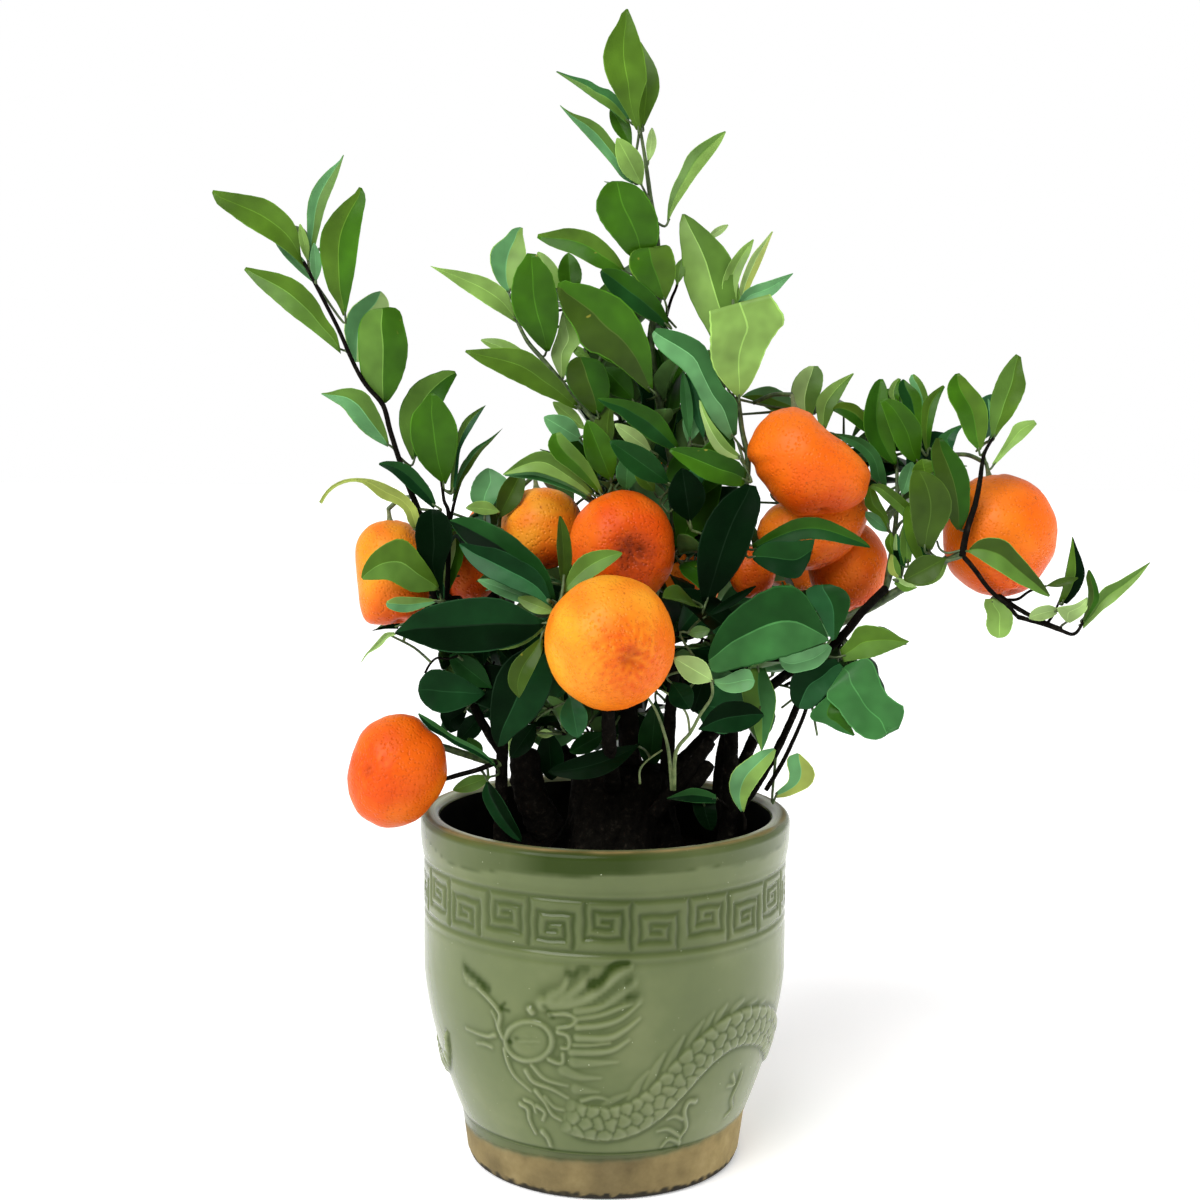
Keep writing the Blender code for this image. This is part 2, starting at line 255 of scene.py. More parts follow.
def bark_material():
    # Bark painted near-black, far darker than its own grey-brown: painted shade
    made = new_material("bark_in_painted_shade", (0.016, 0.013, 0.010), 0.85)
    fine = noise_texture(made, 260.0, 6.0, 0.65)
    stops = [(0.30, (0.002, 0.0017, 0.0014)), (0.58, (0.007, 0.006, 0.0045)), (0.80, (0.038, 0.032, 0.024))]
    ramp = colour_ramp(made, fine, "Fac", stops)
    link(made, ramp, "Color", shader_of(made), "Base Color")
    add_bump(made, fine, "Fac", 0.7, 0.002)
    shader_of(made).inputs["Specular IOR Level"].default_value = 0.04
    return made


def green_bark_material():
    made = new_material("green_bark", (0.060, 0.100, 0.026), 0.55)
    fine = noise_texture(made, 320.0, 4.0)
    stops = [(0.32, (0.026, 0.044, 0.012)), (0.55, (0.060, 0.100, 0.026)), (0.80, (0.130, 0.175, 0.060))]
    ramp = colour_ramp(made, fine, "Fac", stops)
    link(made, ramp, "Color", shader_of(made), "Base Color")
    add_bump(made, fine, "Fac", 0.4, 0.001)
    return made


def young_bark_material():
    made = new_material("young_bark", (0.200, 0.300, 0.100), 0.5)
    fine = noise_texture(made, 300.0, 3.0)
    stops = [(0.30, (0.120, 0.190, 0.060)), (0.70, (0.300, 0.380, 0.150))]
    ramp = colour_ramp(made, fine, "Fac", stops)
    link(made, ramp, "Color", shader_of(made), "Base Color")
    add_bump(made, fine, "Fac", 0.3, 0.001)
    return made


def peel_material():
    """Orange peel: redder round the dimple and in places, with oil pits and freckles; painted yellower where it
    faces the key light and redder away from it, painted light and shade.
    """
    made = new_material("orange_peel", (0.80, 0.170, 0.006), 0.40)
    broad = noise_texture(made, 26.0, 3.0)
    stops = [(0.30, (0.740, 0.120, 0.004)), (0.50, (0.800, 0.155, 0.005)), (0.68, (0.830, 0.210, 0.008))]
    body = colour_ramp(made, broad, "Fac", stops).outputs["Color"]
    # The yellow mark is painted light: yellower where the peel faces the key light
    painted_sunlight = mixed(made, attribute(made, "yellow"), "Fac", body, (0.840, 0.330, 0.018))
    # The blush is partly the fruit's own red and partly painted shade away from the key light
    blushed_and_shaded = mixed(made, attribute(made, "blush_and_shade"), "Fac", painted_sunlight, (0.640, 0.070, 0.002))
    freckles = noise_texture(made, 330.0, 2.0)
    mask = colour_ramp(made, freckles, "Fac", [(0.68, (0, 0, 0)), (0.80, (1, 1, 1))])
    freckled = mixed(made, mask, "Color", blushed_and_shaded, (0.380, 0.070, 0.004))
    # The dark dimple is partly its own brown marks and partly painted shade in the hollow
    dimple = mixed(made, attribute(made, "dimple"), "Fac", freckled, (0.110, 0.014, 0.002))
    made.node_tree.links.new(dimple, shader_of(made).inputs["Base Color"])
    place = add_node(made, "ShaderNodeTexCoord")
    pores = add_node(made, "ShaderNodeTexVoronoi")
    pores.inputs["Scale"].default_value = 520.0
    link(made, place, "Object", pores, "Vector")
    pits = colour_ramp(made, pores, "Distance", [(0.0, (0, 0, 0)), (0.45, (1, 1, 1))])
    add_bump(made, pits, "Color", 0.6, 0.0008)
    shader_of(made).inputs["Specular IOR Level"].default_value = 0.16
    return made


def add_marks(obj, marks):
    """Values at a mesh's vertices that its material reads, by name."""
    for name, values in marks.items():
        layer = obj.data.attributes.new(name, "FLOAT", "POINT")
        layer.data.foreach_set("value", values)


def calyx_material():
    made = new_material("calyx", (0.12, 0.16, 0.05), 0.7)
    fine = noise_texture(made, 700.0, 3.0)
    ramp = colour_ramp(made, fine, "Fac", [(0.3, (0.07, 0.09, 0.03)), (0.7, (0.20, 0.22, 0.09))])
    link(made, ramp, "Color", shader_of(made), "Base Color")
    return made


def attribute(made, name):
    return add_node(made, "ShaderNodeAttribute", attribute_name=name)


def mixed(made, factor, factor_name, first, second):
    """A mix of two colours, each a constant or a node with a Color output."""
    mix = add_node(made, "ShaderNodeMix", data_type="RGBA")
    link(made, factor, factor_name, mix, "Factor")
    for socket, colour in ((mix.inputs[6], first), (mix.inputs[7], second)):
        if isinstance(colour, tuple):
            socket.default_value = (*colour, 1.0)
        else:
            made.node_tree.links.new(colour, socket)
    return mix.outputs[2]


def stoneware_material():
    """Celadon glaze, olive where it pools, paler on crests (thin glaze and painted sheen) and towards the sides
    (painted reflection), over bare clay that is stained below, with a painted contact shadow.
    """
    made = new_material("glazed_stoneware", (0.100, 0.126, 0.045), 0.2)
    broad = noise_texture(made, 16.0, 4.0)
    stops = [(0.32, (0.084, 0.108, 0.038)), (0.52, (0.102, 0.128, 0.046)), (0.72, (0.138, 0.162, 0.066))]
    body = colour_ramp(made, broad, "Fac", stops).outputs["Color"]
    # Paler where the glaze runs thin, with painted sheen on ridges and painted reflection towards the sides and on
    # the lip
    thin_glaze_and_sheen = mixed(made, attribute(made, "pale_glaze_and_sheen"), "Fac", body, (0.300, 0.335, 0.190))
    pooled = mixed(made, attribute(made, "pool"), "Fac", thin_glaze_and_sheen, (0.024, 0.041, 0.006))
    specks = noise_texture(made, 480.0, 2.0)
    mask = colour_ramp(made, specks, "Fac", [(0.75, (0, 0, 0)), (0.80, (1, 1, 1))])
    flecked = mixed(made, mask, "Color", pooled, (0.42, 0.46, 0.30))
    grain = noise_texture(made, 60.0, 6.0, 0.6)
    stops = [(0.30, (0.180, 0.132, 0.050)), (0.52, (0.265, 0.198, 0.080)), (0.75, (0.345, 0.268, 0.120))]
    clay = colour_ramp(made, grain, "Fac", stops).outputs["Color"]
    bare = attribute(made, "bare")
    body = mixed(made, bare, "Fac", flecked, clay)
    # Stains and drips, with a painted contact shadow along the bottom edge
    stained_and_shaded = mixed(made, attribute(made, "stain_and_shade"), "Fac", body, (0.012, 0.010, 0.005))
    made.node_tree.links.new(stained_and_shaded, shader_of(made).inputs["Base Color"])
    gloss = add_node(made, "ShaderNodeMapRange")
    gloss.inputs["To Min"].default_value = 0.20
    gloss.inputs["To Max"].default_value = 0.80
    link(made, bare, "Fac", gloss, "Value")
    link(made, gloss, "Result", shader_of(made), "Roughness")
    shine = add_node(made, "ShaderNodeMapRange")
    shine.inputs["To Min"].default_value = 0.30
    shine.inputs["To Max"].default_value = 0.07
    link(made, attribute(made, "pool"), "Fac", shine, "Value")
    link(made, shine, "Result", shader_of(made), "Specular IOR Level")
    ripple = noise_texture(made, 60.0, 3.0)
    add_bump(made, ripple, "Fac", 0.12, 0.002)
    return made


def inside_glaze_material():
    """The inside of the pot, painted near-black and mottled: painted shade within it."""
    made = new_material("inside_glaze", (0.012, 0.012, 0.008), 0.55)
    shade_mottle = noise_texture(made, 70.0, 4.0)
    # Near-black mottling: painted shade inside the pot
    ramp = colour_ramp(made, shade_mottle, "Fac", [(0.35, (0.001, 0.001, 0.0007)), (0.75, (0.006, 0.006, 0.004))])
    link(made, ramp, "Color", shader_of(made), "Base Color")
    shader_of(made).inputs["Specular IOR Level"].default_value = 0.04
    return made


def soil_material():
    # Soil painted near-black, far darker than its own brown: painted shade under the crown
    made = new_material("soil_in_painted_shade", (0.016, 0.012, 0.009), 0.95)
    grain = noise_texture(made, 420.0, 6.0)
    stops = [(0.35, (0.0015, 0.0012, 0.001)), (0.62, (0.005, 0.004, 0.003)), (0.85, (0.030, 0.023, 0.016))]
    ramp = colour_ramp(made, grain, "Fac", stops)
    link(made, ramp, "Color", shader_of(made), "Base Color")
    add_bump(made, grain, "Fac", 0.8, 0.003)
    shader_of(made).inputs["Specular IOR Level"].default_value = 0.04
    return made


LEAF_MATERIALS = leaf_materials()
BARK = bark_material()
GREEN_BARK = green_bark_material()
YOUNG_BARK = young_bark_material()
PEEL = peel_material()
CALYX = calyx_material()
STONEWARE = stoneware_material()
INSIDE_GLAZE = inside_glaze_material()
SOIL = soil_material()


class Piece:
    """Gathers vertices and faces of many small things, and becomes one mesh object."""

    def __init__(self, name):
        self.name = name
        self.vertices = []
        self.faces = []
        self.face_materials = []
        self.materials = []
        self.count = 0

    def slot_of(self, made):
        if made not in self.materials:
            self.materials.append(made)
        return self.materials.index(made)

    def add(self, vertices, faces, materials):
        """Faces are corners' places among these vertices; materials is one for all, or one each."""
        if isinstance(materials, bpy.types.Material):
            materials = [materials] * len(faces)
        slots = {made: self.slot_of(made) for made in dict.fromkeys(materials)}
        self.vertices.append(np.asarray(vertices, dtype=float))
        self.faces.append((np.asarray(faces, dtype=int) + self.count).tolist())
        self.face_materials += [slots[made] for made in materials]
        self.count += len(vertices)

    def build(self, slot, *nodes):
        mesh = bpy.data.meshes.new(self.name)
        corners = np.concatenate(self.vertices).tolist()
        mesh.from_pydata(corners, [], [face for group in self.faces for face in group])
        mesh.polygons.foreach_set("material_index", self.face_materials)
        mesh.polygons.foreach_set("use_smooth", [True] * len(mesh.polygons))
        for made in self.materials:
            mesh.materials.append(made)
        mesh.update()
        piece = bpy.data.objects.new(self.name, mesh)
        bpy.context.scene.collection.objects.link(piece)
        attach(piece, "root")
        if nodes:
            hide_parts(*nodes)
        return piece


def grid_faces(rows, columns, wrap=False):
    """Quads of a grid whose vertices are numbered row by row; wrap joins the last column to the first."""
    faces = []
    for row in range(rows - 1):
        for column in range(columns if wrap else columns - 1):
            right = (column + 1) % columns
            low, high = row * columns, (row + 1) * columns
            faces.append((low + column, low + right, high + right, high + column))
    return faces


# Tubes: stems, twigs and stalks

def smooth_path(points, steps):
    """Points on a smooth curve through the given ones."""
    points = [Vector(point) for point in points]
    if len(points) == 2:
        return [points[0].lerp(points[1], step / steps) for step in range(steps + 1)]
    ends = [points[0] * 2 - points[1], *points, points[-1] * 2 - points[-2]]
    path = []
    for before, start, end, after in zip(ends, ends[1:], ends[2:], ends[3:]):
        for step in range(steps):
            share = step / steps
            path.append(
                0.5 * (2 * start + (end - before) * share
                       + (2 * before - 5 * start + 4 * end - after) * share**2
                       + (3 * start - before - 3 * end + after) * share**3)
            )
    path.append(points[-1])
    return path


def tube(path, radii, sides, relief=0.0, seed=0):
    """Vertices and faces of a closed tube, uneven by that share of its radius."""
    count = len(path)
    along = [(path[min(i + 1, count - 1)] - path[max(i - 1, 0)]).normalized() for i in range(count)]
    aside = along[0].orthogonal().normalized()
    rings = []
    for centre, axis, radius in zip(path, along, radii):
        aside = (aside - axis * aside.dot(axis)).normalized()
        across = axis.cross(aside)
        for side in range(sides):
            angle = 2 * math.pi * side / sides
            outward = aside * math.cos(angle) + across * math.sin(angle)
            reach = radius
            if relief:
                spot = Vector((centre.x * 90 + seed, centre.y * 90, centre.z * 90)) + outward * 1.3
                reach *= 1 + relief * noise.fractal(spot * 2.2, 1.0, 2.0, 3)
            rings.append(centre + outward * reach)
    faces = [face for face in grid_faces(count, sides, wrap=True)]
    first, last = len(rings), len(rings) + 1
    rings.append(path[0] - along[0] * radii[0] * 0.3)
    rings.append(path[-1] + along[-1] * radii[-1] * 0.5)
    end = (count - 1) * sides
    for side in range(sides):
        right = (side + 1) % sides
        faces.append((first, right, side, side))
        faces.append((last, end + side, end + right, end + right))
    return rings, [face[:3] if face[2] == face[3] else face for face in faces]


def add_tube(piece, path, radii, sides, made, relief=0.0, seed=0):
    vertices, faces = tube(path, radii, sides, relief, seed)
    quads = [face for face in faces if len(face) == 4]
    triangles = [face for face in faces if len(face) == 3]
    piece.add(vertices, quads, made)
    piece.faces.append((np.asarray(triangles, dtype=int) + piece.count - len(vertices)).tolist())
    piece.face_materials += [piece.slot_of(made)] * len(triangles)


# Leaves

def leaf_outline(share, blunt):
    """Half the leaf's width at a share of its length, as a share of the widest half width."""
    shoulder = 1.04 + 1.36 * blunt
    power = (1 - blunt) * (0.98 - 0.34 * share) + 0.5 * blunt
    return np.sin(math.pi * share**shoulder) ** power


def leaf_template(steps, strips):
    """The leaf's faces and their parts: left, right, rib, margin or under."""
    rows, columns = steps + 1, len(strips)
    count = rows * columns
    faces, parts = [], []
    middle = (columns - 1) // 2
    for low, right, top, left in grid_faces(rows, columns):
        column = low % columns
        faces.append((low, right, top, left))
        if column == middle:
            parts.append("rib")
        elif column in (0, columns - 2):
            parts.append("margin")
        else:
            parts.append("right" if column < middle else "left")
        faces.append((low + count, left + count, top + count, right + count))
        parts.append("under")
    border = [row * columns for row in range(rows)]
    border += [(rows - 1) * columns + column for column in range(1, columns)]
    border += [row * columns + columns - 1 for row in range(rows - 2, -1, -1)]
    border += [column for column in range(columns - 2, 0, -1)]
    for start, end in zip(border, border[1:] + border[:1]):
        faces.append((start, end, end + count, start + count))
        parts.append("margin")
    return np.array(faces), parts


FINE_LEAF = leaf_template(FINE_STEPS, FINE_STRIPS)
GROWN_LEAF = leaf_template(GROWN_STEPS, GROWN_STRIPS)


def vein_relief(share, strip):
    veins = 0.00018 * np.cos(2 * math.pi * (VEINS * share - 0.9 * np.abs(strip))) * (np.abs(strip) < 0.9)
    return veins * np.sin(math.pi * share)


def two_sides(middle, share, strip, facing):
    """The vertices of a leaf's upper side and under side from those halfway between them."""
    thick = EDGE_THICKNESS + (LEAF_THICKNESS - EDGE_THICKNESS) * (1 - np.abs(strip) ** 3)
    raised = np.where(np.abs(strip) < 0.1, 0.00016, 0.0) * (1 - 0.6 * share)
    offset = (thick / 2 + raised)[..., None] * facing
    return np.concatenate([(middle + offset).reshape(-1, 3), (middle - offset).reshape(-1, 3)])


def leaf_shape(foot, tip, facing, width, steps, strips, arch=0.05, fold=0.32, sweep=0.0, curl=0.0,
               blunt=0.0, seed=0):
    """Vertices of a leaf from foot to tip whose upper side faces as told.

    arch lifts its middle, fold raises its edges, sweep bows it to its left and curl rolls its
    tip down, each as a share of its length or half width. A blunt leaf is widest near its tip.
    """
    axis = tip - foot
    length = axis.length
    axis.normalize()
    facing = (facing - axis * facing.dot(axis)).normalized()
    left = facing.cross(axis)
    foot, axis, facing, left = (np.array(vector) for vector in (foot, axis, facing, left))
    share = np.linspace(0, 1, steps + 1)[:, None]
    strip = np.array(strips)[None, :]
    chance = np.random.default_rng(seed)
    teeth = 1 + 0.012 * np.sin(2 * math.pi * (9.5 * share + chance.random())) * (np.abs(strip) > 0.9)
    half = np.maximum(0.5 * width * leaf_outline(share, blunt), 0.0004) * teeth
    across = strip * half
    waves = 0.05 * half * np.sin(2 * math.pi * (2.2 * share + chance.random())) * strip**2
    hump = 4 * share * (1 - share)
    lift = arch * length * hump + fold * half * np.abs(strip) - curl * length * share**3
    lift = lift + waves + vein_relief(share, strip)
    forward = share * length
    bow = sweep * length * hump
    middle = (foot + forward[..., None] * axis + (across + bow)[..., None] * left
              + lift[..., None] * facing)
    return two_sides(middle, share, strip, facing)


def add_leaf(piece, shape, shades, template=None):
    """Add a leaf whose left and right halves have the given shades; two different shades paint light and shade on
    the fold.
    """
    faces, parts = template or FINE_LEAF
    left, right = shades
    under = "pale" if left in ("blue", "pale") else "under"
    # Ribs and margins take the lighter vein colour; on the margins it is a painted edge sheen
    kinds = {"left": left, "right": right, "rib": left + "_vein", "margin": right + "_vein", "under": under}
    piece.add(shape, faces, [LEAF_MATERIALS[kinds[part]] for part in parts])


# Fruit: its middle and half sizes in pixels, its depth, how red it is (its own red and painted shade),
# the degrees its longer axis is tilted, the pixel of its dimple and how wide that is (wider is painted
# darker), how lumpy it is, and its outline in pixels where it isn't a plain ball
Fruit = namedtuple("Fruit", "name middle half depth red tilt dimple hollow lumps outline",
                   defaults=(0, None, 0.15, 0.030, None))

RIGHT_TOP_OUTLINE = ((771, 412), (783, 408), (792, 406), (801, 408), (811, 413), (818, 422), (832, 434),
                     (845, 443), (858, 455), (866, 465), (870, 475), (868, 487), (864, 498), (850, 509),
                     (827, 514), (806, 516), (794, 515), (785, 508), (775, 500), (766, 487), (757, 475),
                     (754, 465), (748, 458), (747, 450), (750, 440), (758, 425))
HANGING_OUTLINE = ((396, 714), (409, 715), (419, 719), (428, 729), (440, 739), (445, 752), (447, 768),
                   (446, 782), (440, 795), (432, 805), (423, 815), (410, 823), (391, 827), (378, 825),
                   (361, 815), (354, 804), (349, 790), (348, 772), (353, 752), (363, 730), (383, 717))
LEFT_OUTLINE = ((395, 519), (408, 523), (418, 534), (428, 550), (434, 572), (430, 596), (420, 615),
                (405, 624), (385, 626), (368, 622), (361, 608), (358, 585), (355, 560), (355, 548),
                (359, 536), (368, 526), (382, 520))

RIGHT_MIDDLE_OUTLINE = ((760, 520), (775, 505), (800, 498), (830, 492), (850, 491), (863, 496), (868, 507),
                        (867, 520), (860, 537), (850, 550), (835, 562), (815, 570), (795, 569), (775, 560),
                        (762, 545), (757, 532))
FAR_RIGHT_OUTLINE = ((985, 475), (1003, 473), (1020, 477), (1035, 485), (1046, 497), (1053, 512), (1056, 525),
                     (1055, 542), (1052, 555), (1045, 567), (1038, 577), (1025, 590), (1010, 596), (995, 597),
                     (975, 592), (960, 582), (950, 572), (946, 562), (943, 545), (944, 525), (950, 505),
                     (962, 488), (973, 479))

FRUITS = (
    Fruit("front", (610.5, 642.5), (66.5, 68.5), -0.090, 0.05, dimple=(631, 657), hollow=0.17),
    Fruit("middle", (622, 547.5), (54, 57.5), -0.020, 0.70, dimple=(634, 556), hollow=0.40),
    Fruit("middle_left", (542.5, 528.5), (42.5, 41.5), 0.020, 0.10),
    Fruit("left", (395, 572.5), (40, 52.5), 0.000, 0.19, lumps=0.01, outline=LEFT_OUTLINE),
    Fruit("right_top", (808, 462), (62, 54), -0.020, 0.42, tilt=-35, lumps=0.01, outline=RIGHT_TOP_OUTLINE),
    Fruit("right_middle", (811.5, 533), (56.5, 37), 0.000, 0.30, tilt=-10, lumps=0.01,
          outline=RIGHT_MIDDLE_OUTLINE),
    Fruit("right_low", (848, 566), (40, 46), 0.020, 0.45),
    Fruit("inner_right", (752, 572), (24, 26), 0.000, 0.80),
    Fruit("far_right", (1000, 535), (55.5, 61.5), 0.000, 0.38, lumps=0.01, outline=FAR_RIGHT_OUTLINE),
    Fruit("hanging_left", (396, 770.5), (49, 56.5), -0.052, 0.50, dimple=(373, 767), hollow=0.12,
          lumps=0.01, outline=HANGING_OUTLINE),
    Fruit("inner_left", (470, 570), (30, 32), 0.030, 0.80),
)

# Fruit that the photograph doesn't show: the middle and the radius
HiddenFruit = namedtuple("HiddenFruit", "name middle radius")

HIDDEN_FRUITS = (
    HiddenFruit("back", (0.040, 0.118, 0.300), 0.029),
    HiddenFruit("back_left", (-0.056, 0.098, 0.326), 0.028),
    HiddenFruit("back_right", (0.112, 0.086, 0.322), 0.028),
    HiddenFruit("back_top", (0.034, 0.100, 0.352), 0.025),
    HiddenFruit("back_low", (-0.030, 0.110, 0.268), 0.026),
)

# A fruit is the unit ball stretched by a matrix
Ball = namedtuple("Ball", "centre stretch shrink dimple red hollow lumps shares")


def make_ball(centre, halves, tilt, dimple, red=0.3, hollow=0.15, lumps=0.030, outline=None, depth=0.0):
    turn = math.radians(tilt)
    across = RIGHT * math.cos(turn) + UP * math.sin(turn)
    up = UP * math.cos(turn) - RIGHT * math.sin(turn)
    axes = Matrix((across, -FORWARD, up)).transposed()
    sizes = Matrix.Diagonal((halves[0], min(halves), halves[1]))
    stretch = axes @ sizes @ axes.transposed()
    shrink = stretch.inverted()
    shares = outline_shares(outline, centre, shrink, depth) if outline else None
    return Ball(centre, stretch, shrink, dimple.normalized(), red, hollow, lumps, shares)


def outline_shares(outline, centre, shrink, depth):
    """How far an outline is from a ball's middle as a share of the ball, by the angle in the picture."""
    angles, shares = [], []
    around = [(across, down, 0) for across, down in (*outline, outline[0])]
    for across, down, _ in smooth_path(around, 5)[:-1]:
        away = at(across, down, depth) - centre
        away -= FORWARD * away.dot(FORWARD)
        angles.append(math.atan2(away.dot(UP), away.dot(RIGHT)))
        shares.append((shrink @ away).length)
    return angles, shares


def outlined(ball, offset):
    """A place on a ball, moved so that the ball's outline is the one that was read."""
    if ball.shares is None:
        return offset
    across, up = offset.dot(RIGHT), offset.dot(UP)
    share = np.interp(math.atan2(up, across), *ball.shares, period=2 * math.pi)
    return (RIGHT * across + UP * up) * float(share) + FORWARD * offset.dot(FORWARD)


def fruit_balls():
    balls = []
    for fruit in FRUITS:
        centre = at(*fruit.middle, fruit.depth)
        scale = metres_per_pixel(fruit.depth)
        halves = (fruit.half[0] * scale, fruit.half[1] * scale)
        dimple = Vector((0.15, -0.35, -0.9))
        if fruit.dimple:
            aside = at(*fruit.dimple, fruit.depth) - centre
            near = max(halves[0] ** 2 - aside.length_squared, 1e-6) ** 0.5
            dimple = aside - FORWARD * near
        balls.append(make_ball(centre, halves, fruit.tilt, dimple, fruit.red, fruit.hollow, fruit.lumps,
                               fruit.outline, fruit.depth))
    for fruit in HIDDEN_FRUITS:
        halves = (fruit.radius, fruit.radius * 0.94)
        balls.append(make_ball(Vector(fruit.middle), halves, 0, Vector((0.1, 0.3, -0.9))))
    return balls


BALLS = fruit_balls()
FRUIT_SIDES = 64
FRUIT_RINGS = 46
BLUSH_WIDTH = 0.80
FRUIT_CLEARANCE = 1.04
MOST_SHIFTS = 60
SHIFT = 0.001
# The direction of the key light: the peel is painted yellower facing it and redder away from it, painted light and
# shade
SUNNY = Vector((-0.55, -0.40, 0.73))


def add_fruit(piece, ball, number, marks):
    """A slightly lumpy ball with a dimple at its blossom end and a calyx at its stalk."""
    pole = ball.dimple
    aside = pole.orthogonal().normalized()
    across = pole.cross(aside)
    seed = Vector((number * 3.1, 0, 0))
    vertices = []
    for ring in range(FRUIT_RINGS + 1):
        turn = math.pi * ring / FRUIT_RINGS
        for side in range(FRUIT_SIDES):
            angle = 2 * math.pi * side / FRUIT_SIDES
            outward = pole * math.cos(turn) + (aside * math.cos(angle) + across * math.sin(angle)) * math.sin(turn)
            lumps = ball.lumps * noise.noise(outward * 1.5 + seed) + 0.010 * noise.noise(outward * 5 + seed)
            far_turn = math.pi - turn
            dent = -0.6 * ball.hollow * math.exp(-((turn / ball.hollow) ** 2))
            dent -= 0.06 * math.exp(-((far_turn / 0.22) ** 2))
            ribs = 0.010 * math.cos(9 * angle) * math.exp(-((far_turn / 0.5) ** 2))
            offset = ball.stretch @ outward * (0.995 + lumps + dent + ribs)
            vertices.append(ball.centre + outlined(ball, offset))
            uneven = 0.7 + 0.6 * noise.noise(outward * 14 + seed)
            sunny = outward.dot(SUNNY)
            patch = 0.8 + 0.9 * noise.noise(outward * 2.2 + seed)
            # A wider dimple is painted darker: painted shade in and round the hollow
            dark = min(1.0, 0.45 + 3.4 * (ball.hollow - 0.15))
            marks["dimple"].append(dark * uneven * math.exp(-((turn / (1.1 * ball.hollow)) ** 3)))
            near = 0.9 * uneven * math.exp(-((turn / BLUSH_WIDTH) ** 3))
            # Blush: the fruit's own red and the red round its dimple, with painted shade away from the key light
            marks["blush_and_shade"].append(min(1.0, ball.red * patch + 0.15 * max(0.0, -sunny) + near))
            # Painted light: yellower where the peel faces the key light
            painted_sunlight = min(max((sunny + 0.9 - 3.2 * ball.red) / 0.9, 0.0), 1.0)
            marks["yellow"].append(min(1.0, 0.9 * painted_sunlight**1.4 * patch * (1.1 - ball.red)))
    piece.add(vertices, grid_faces(FRUIT_RINGS + 1, FRUIT_SIDES, wrap=True), PEEL)
    stalk_end = ball.centre - ball.stretch @ pole * 0.96
    path = smooth_path([stalk_end + pole * 0.001, stalk_end - pole * 0.002, stalk_end - pole * 0.009], 3)
    start = piece.count
    add_tube(piece, path, [0.0040, 0.0038, 0.0030, 0.0018, 0.0013, 0.0011, 0.0011], 10, CALYX)
    for values in marks.values():
        values += [0.0] * (piece.count - start)
    return stalk_end - pole * 0.009


# Limbs, repeated from the solids: start, end, bow, radii and flare
Limb = namedtuple("Limb", "name start end bow foot_radius tip_radius flare")

LIMBS = (
    Limb("stem_left", (-0.055, -0.018, STEM_FOOT), (-0.0535, -0.020, 0.2420), (-0.001, 0, 0),
         0.0040, 0.0029, 0.0045),
    Limb("stem_right", (0.064, -0.008, STEM_FOOT), (0.0665, -0.002, 0.2500), (0.0015, 0, 0),
         0.0046, 0.0036, 0.0050),
    Limb("stem_middle", (0.033, 0.004, 0.195), (0.0370, 0.000, 0.2700), (-0.001, 0, 0),
         0.0042, 0.0028, 0),
    Limb("stub_left", (-0.030, -0.006, 0.178), (-0.043, -0.013, 0.2225), (-0.004, 0, 0),
         0.0100, 0.0078, 0),
    Limb("stub_right", (0.026, -0.016, 0.190), (0.0545, -0.024, 0.2310), (0.001, 0, 0),
         0.0042, 0.0034, 0),
    Limb("stub_short", (0.030, -0.014, 0.196), (0.0535, -0.022, 0.2185), (0.003, 0, -0.002),
         0.0044, 0.0040, 0),
    Limb("bough_front", (0.004, -0.004, 0.200), (0.000, -0.066, 0.2700), (0, -0.008, -0.006),
         0.0050, 0.0030, 0),
    Limb("bough_centre", (0.012, 0.010, 0.200), (0.004, 0.016, 0.2720), (0.004, 0, 0),
         0.0065, 0.0048, 0),
    Limb("bough_back", (0.014, 0.020, 0.198), (0.020, 0.100, 0.3000), (0, 0.010, -0.012),
         0.0058, 0.0038, 0),
    Limb("bough_back_left", (-0.006, 0.016, 0.198), (-0.066, 0.078, 0.3000), (-0.008, 0.008, -0.010),
         0.0052, 0.0036, 0),
    Limb("bough_back_right", (0.026, 0.016, 0.198), (0.098, 0.070, 0.2950), (0.008, 0.008, -0.010),
         0.0052, 0.0036, 0),
    Limb("bough_left", (-0.0540, -0.0195, 0.222), (-0.0740, -0.0215, 0.2600), (-0.002, 0, 0),
         0.0026, 0.0022, 0),
    Limb("stem_right_leaning", (0.0650, -0.006, 0.200), (0.0880, 0.010, 0.2520), (0.002, 0, -0.001),
         0.0034, 0.0028, 0),
    Limb("stem_right_slim", (0.0645, -0.008, 0.182), (0.1030, -0.022, 0.2580), (0.002, -0.004, -0.003),
         0.0026, 0.0018, 0),
    Limb("bough_right_hanging", (0.186, -0.008, 0.328), (0.2400, -0.010, 0.2900), (-0.003, 0, -0.004),
         0.0016, 0.0011, 0),
)
GREEN_LIMBS = (
    Limb("bough_left_side", (-0.0540, -0.0195, 0.2165), (-0.1050, -0.050, 0.2400), (0, 0, -0.001),
         0.0022, 0.0016, 0),
    Limb("bough_right", (0.120, -0.002, 0.290), (0.1800, -0.003, 0.3260), (0, 0, -0.002),
         0.0030, 0.0022, 0),
)
LIMB_STEPS = 48
LIMB_SIDES = 20


def limb_point(limb, share):
    straight = Vector(limb.start).lerp(Vector(limb.end), share)
    return straight + Vector(limb.bow) * (4 * share * (1 - share))


def limb_radius(limb, share):
    taper = limb.foot_radius + (limb.tip_radius - limb.foot_radius) * share
    return taper + limb.flare * (1 - share) ** STEM_FLARE_POWER


def build_limbs(name, limbs, made, slot):
    piece = Piece(name)
    for number, limb in enumerate(limbs):
        shares = [step / LIMB_STEPS for step in range(LIMB_STEPS + 1)]
        path = [limb_point(limb, share) for share in shares]
        radii = [limb_radius(limb, share) * 0.97 for share in shares]
        add_tube(piece, path, radii, LIMB_SIDES, made, relief=0.14, seed=number * 5.0)
    return piece.build(slot, *[limb.name for limb in limbs])


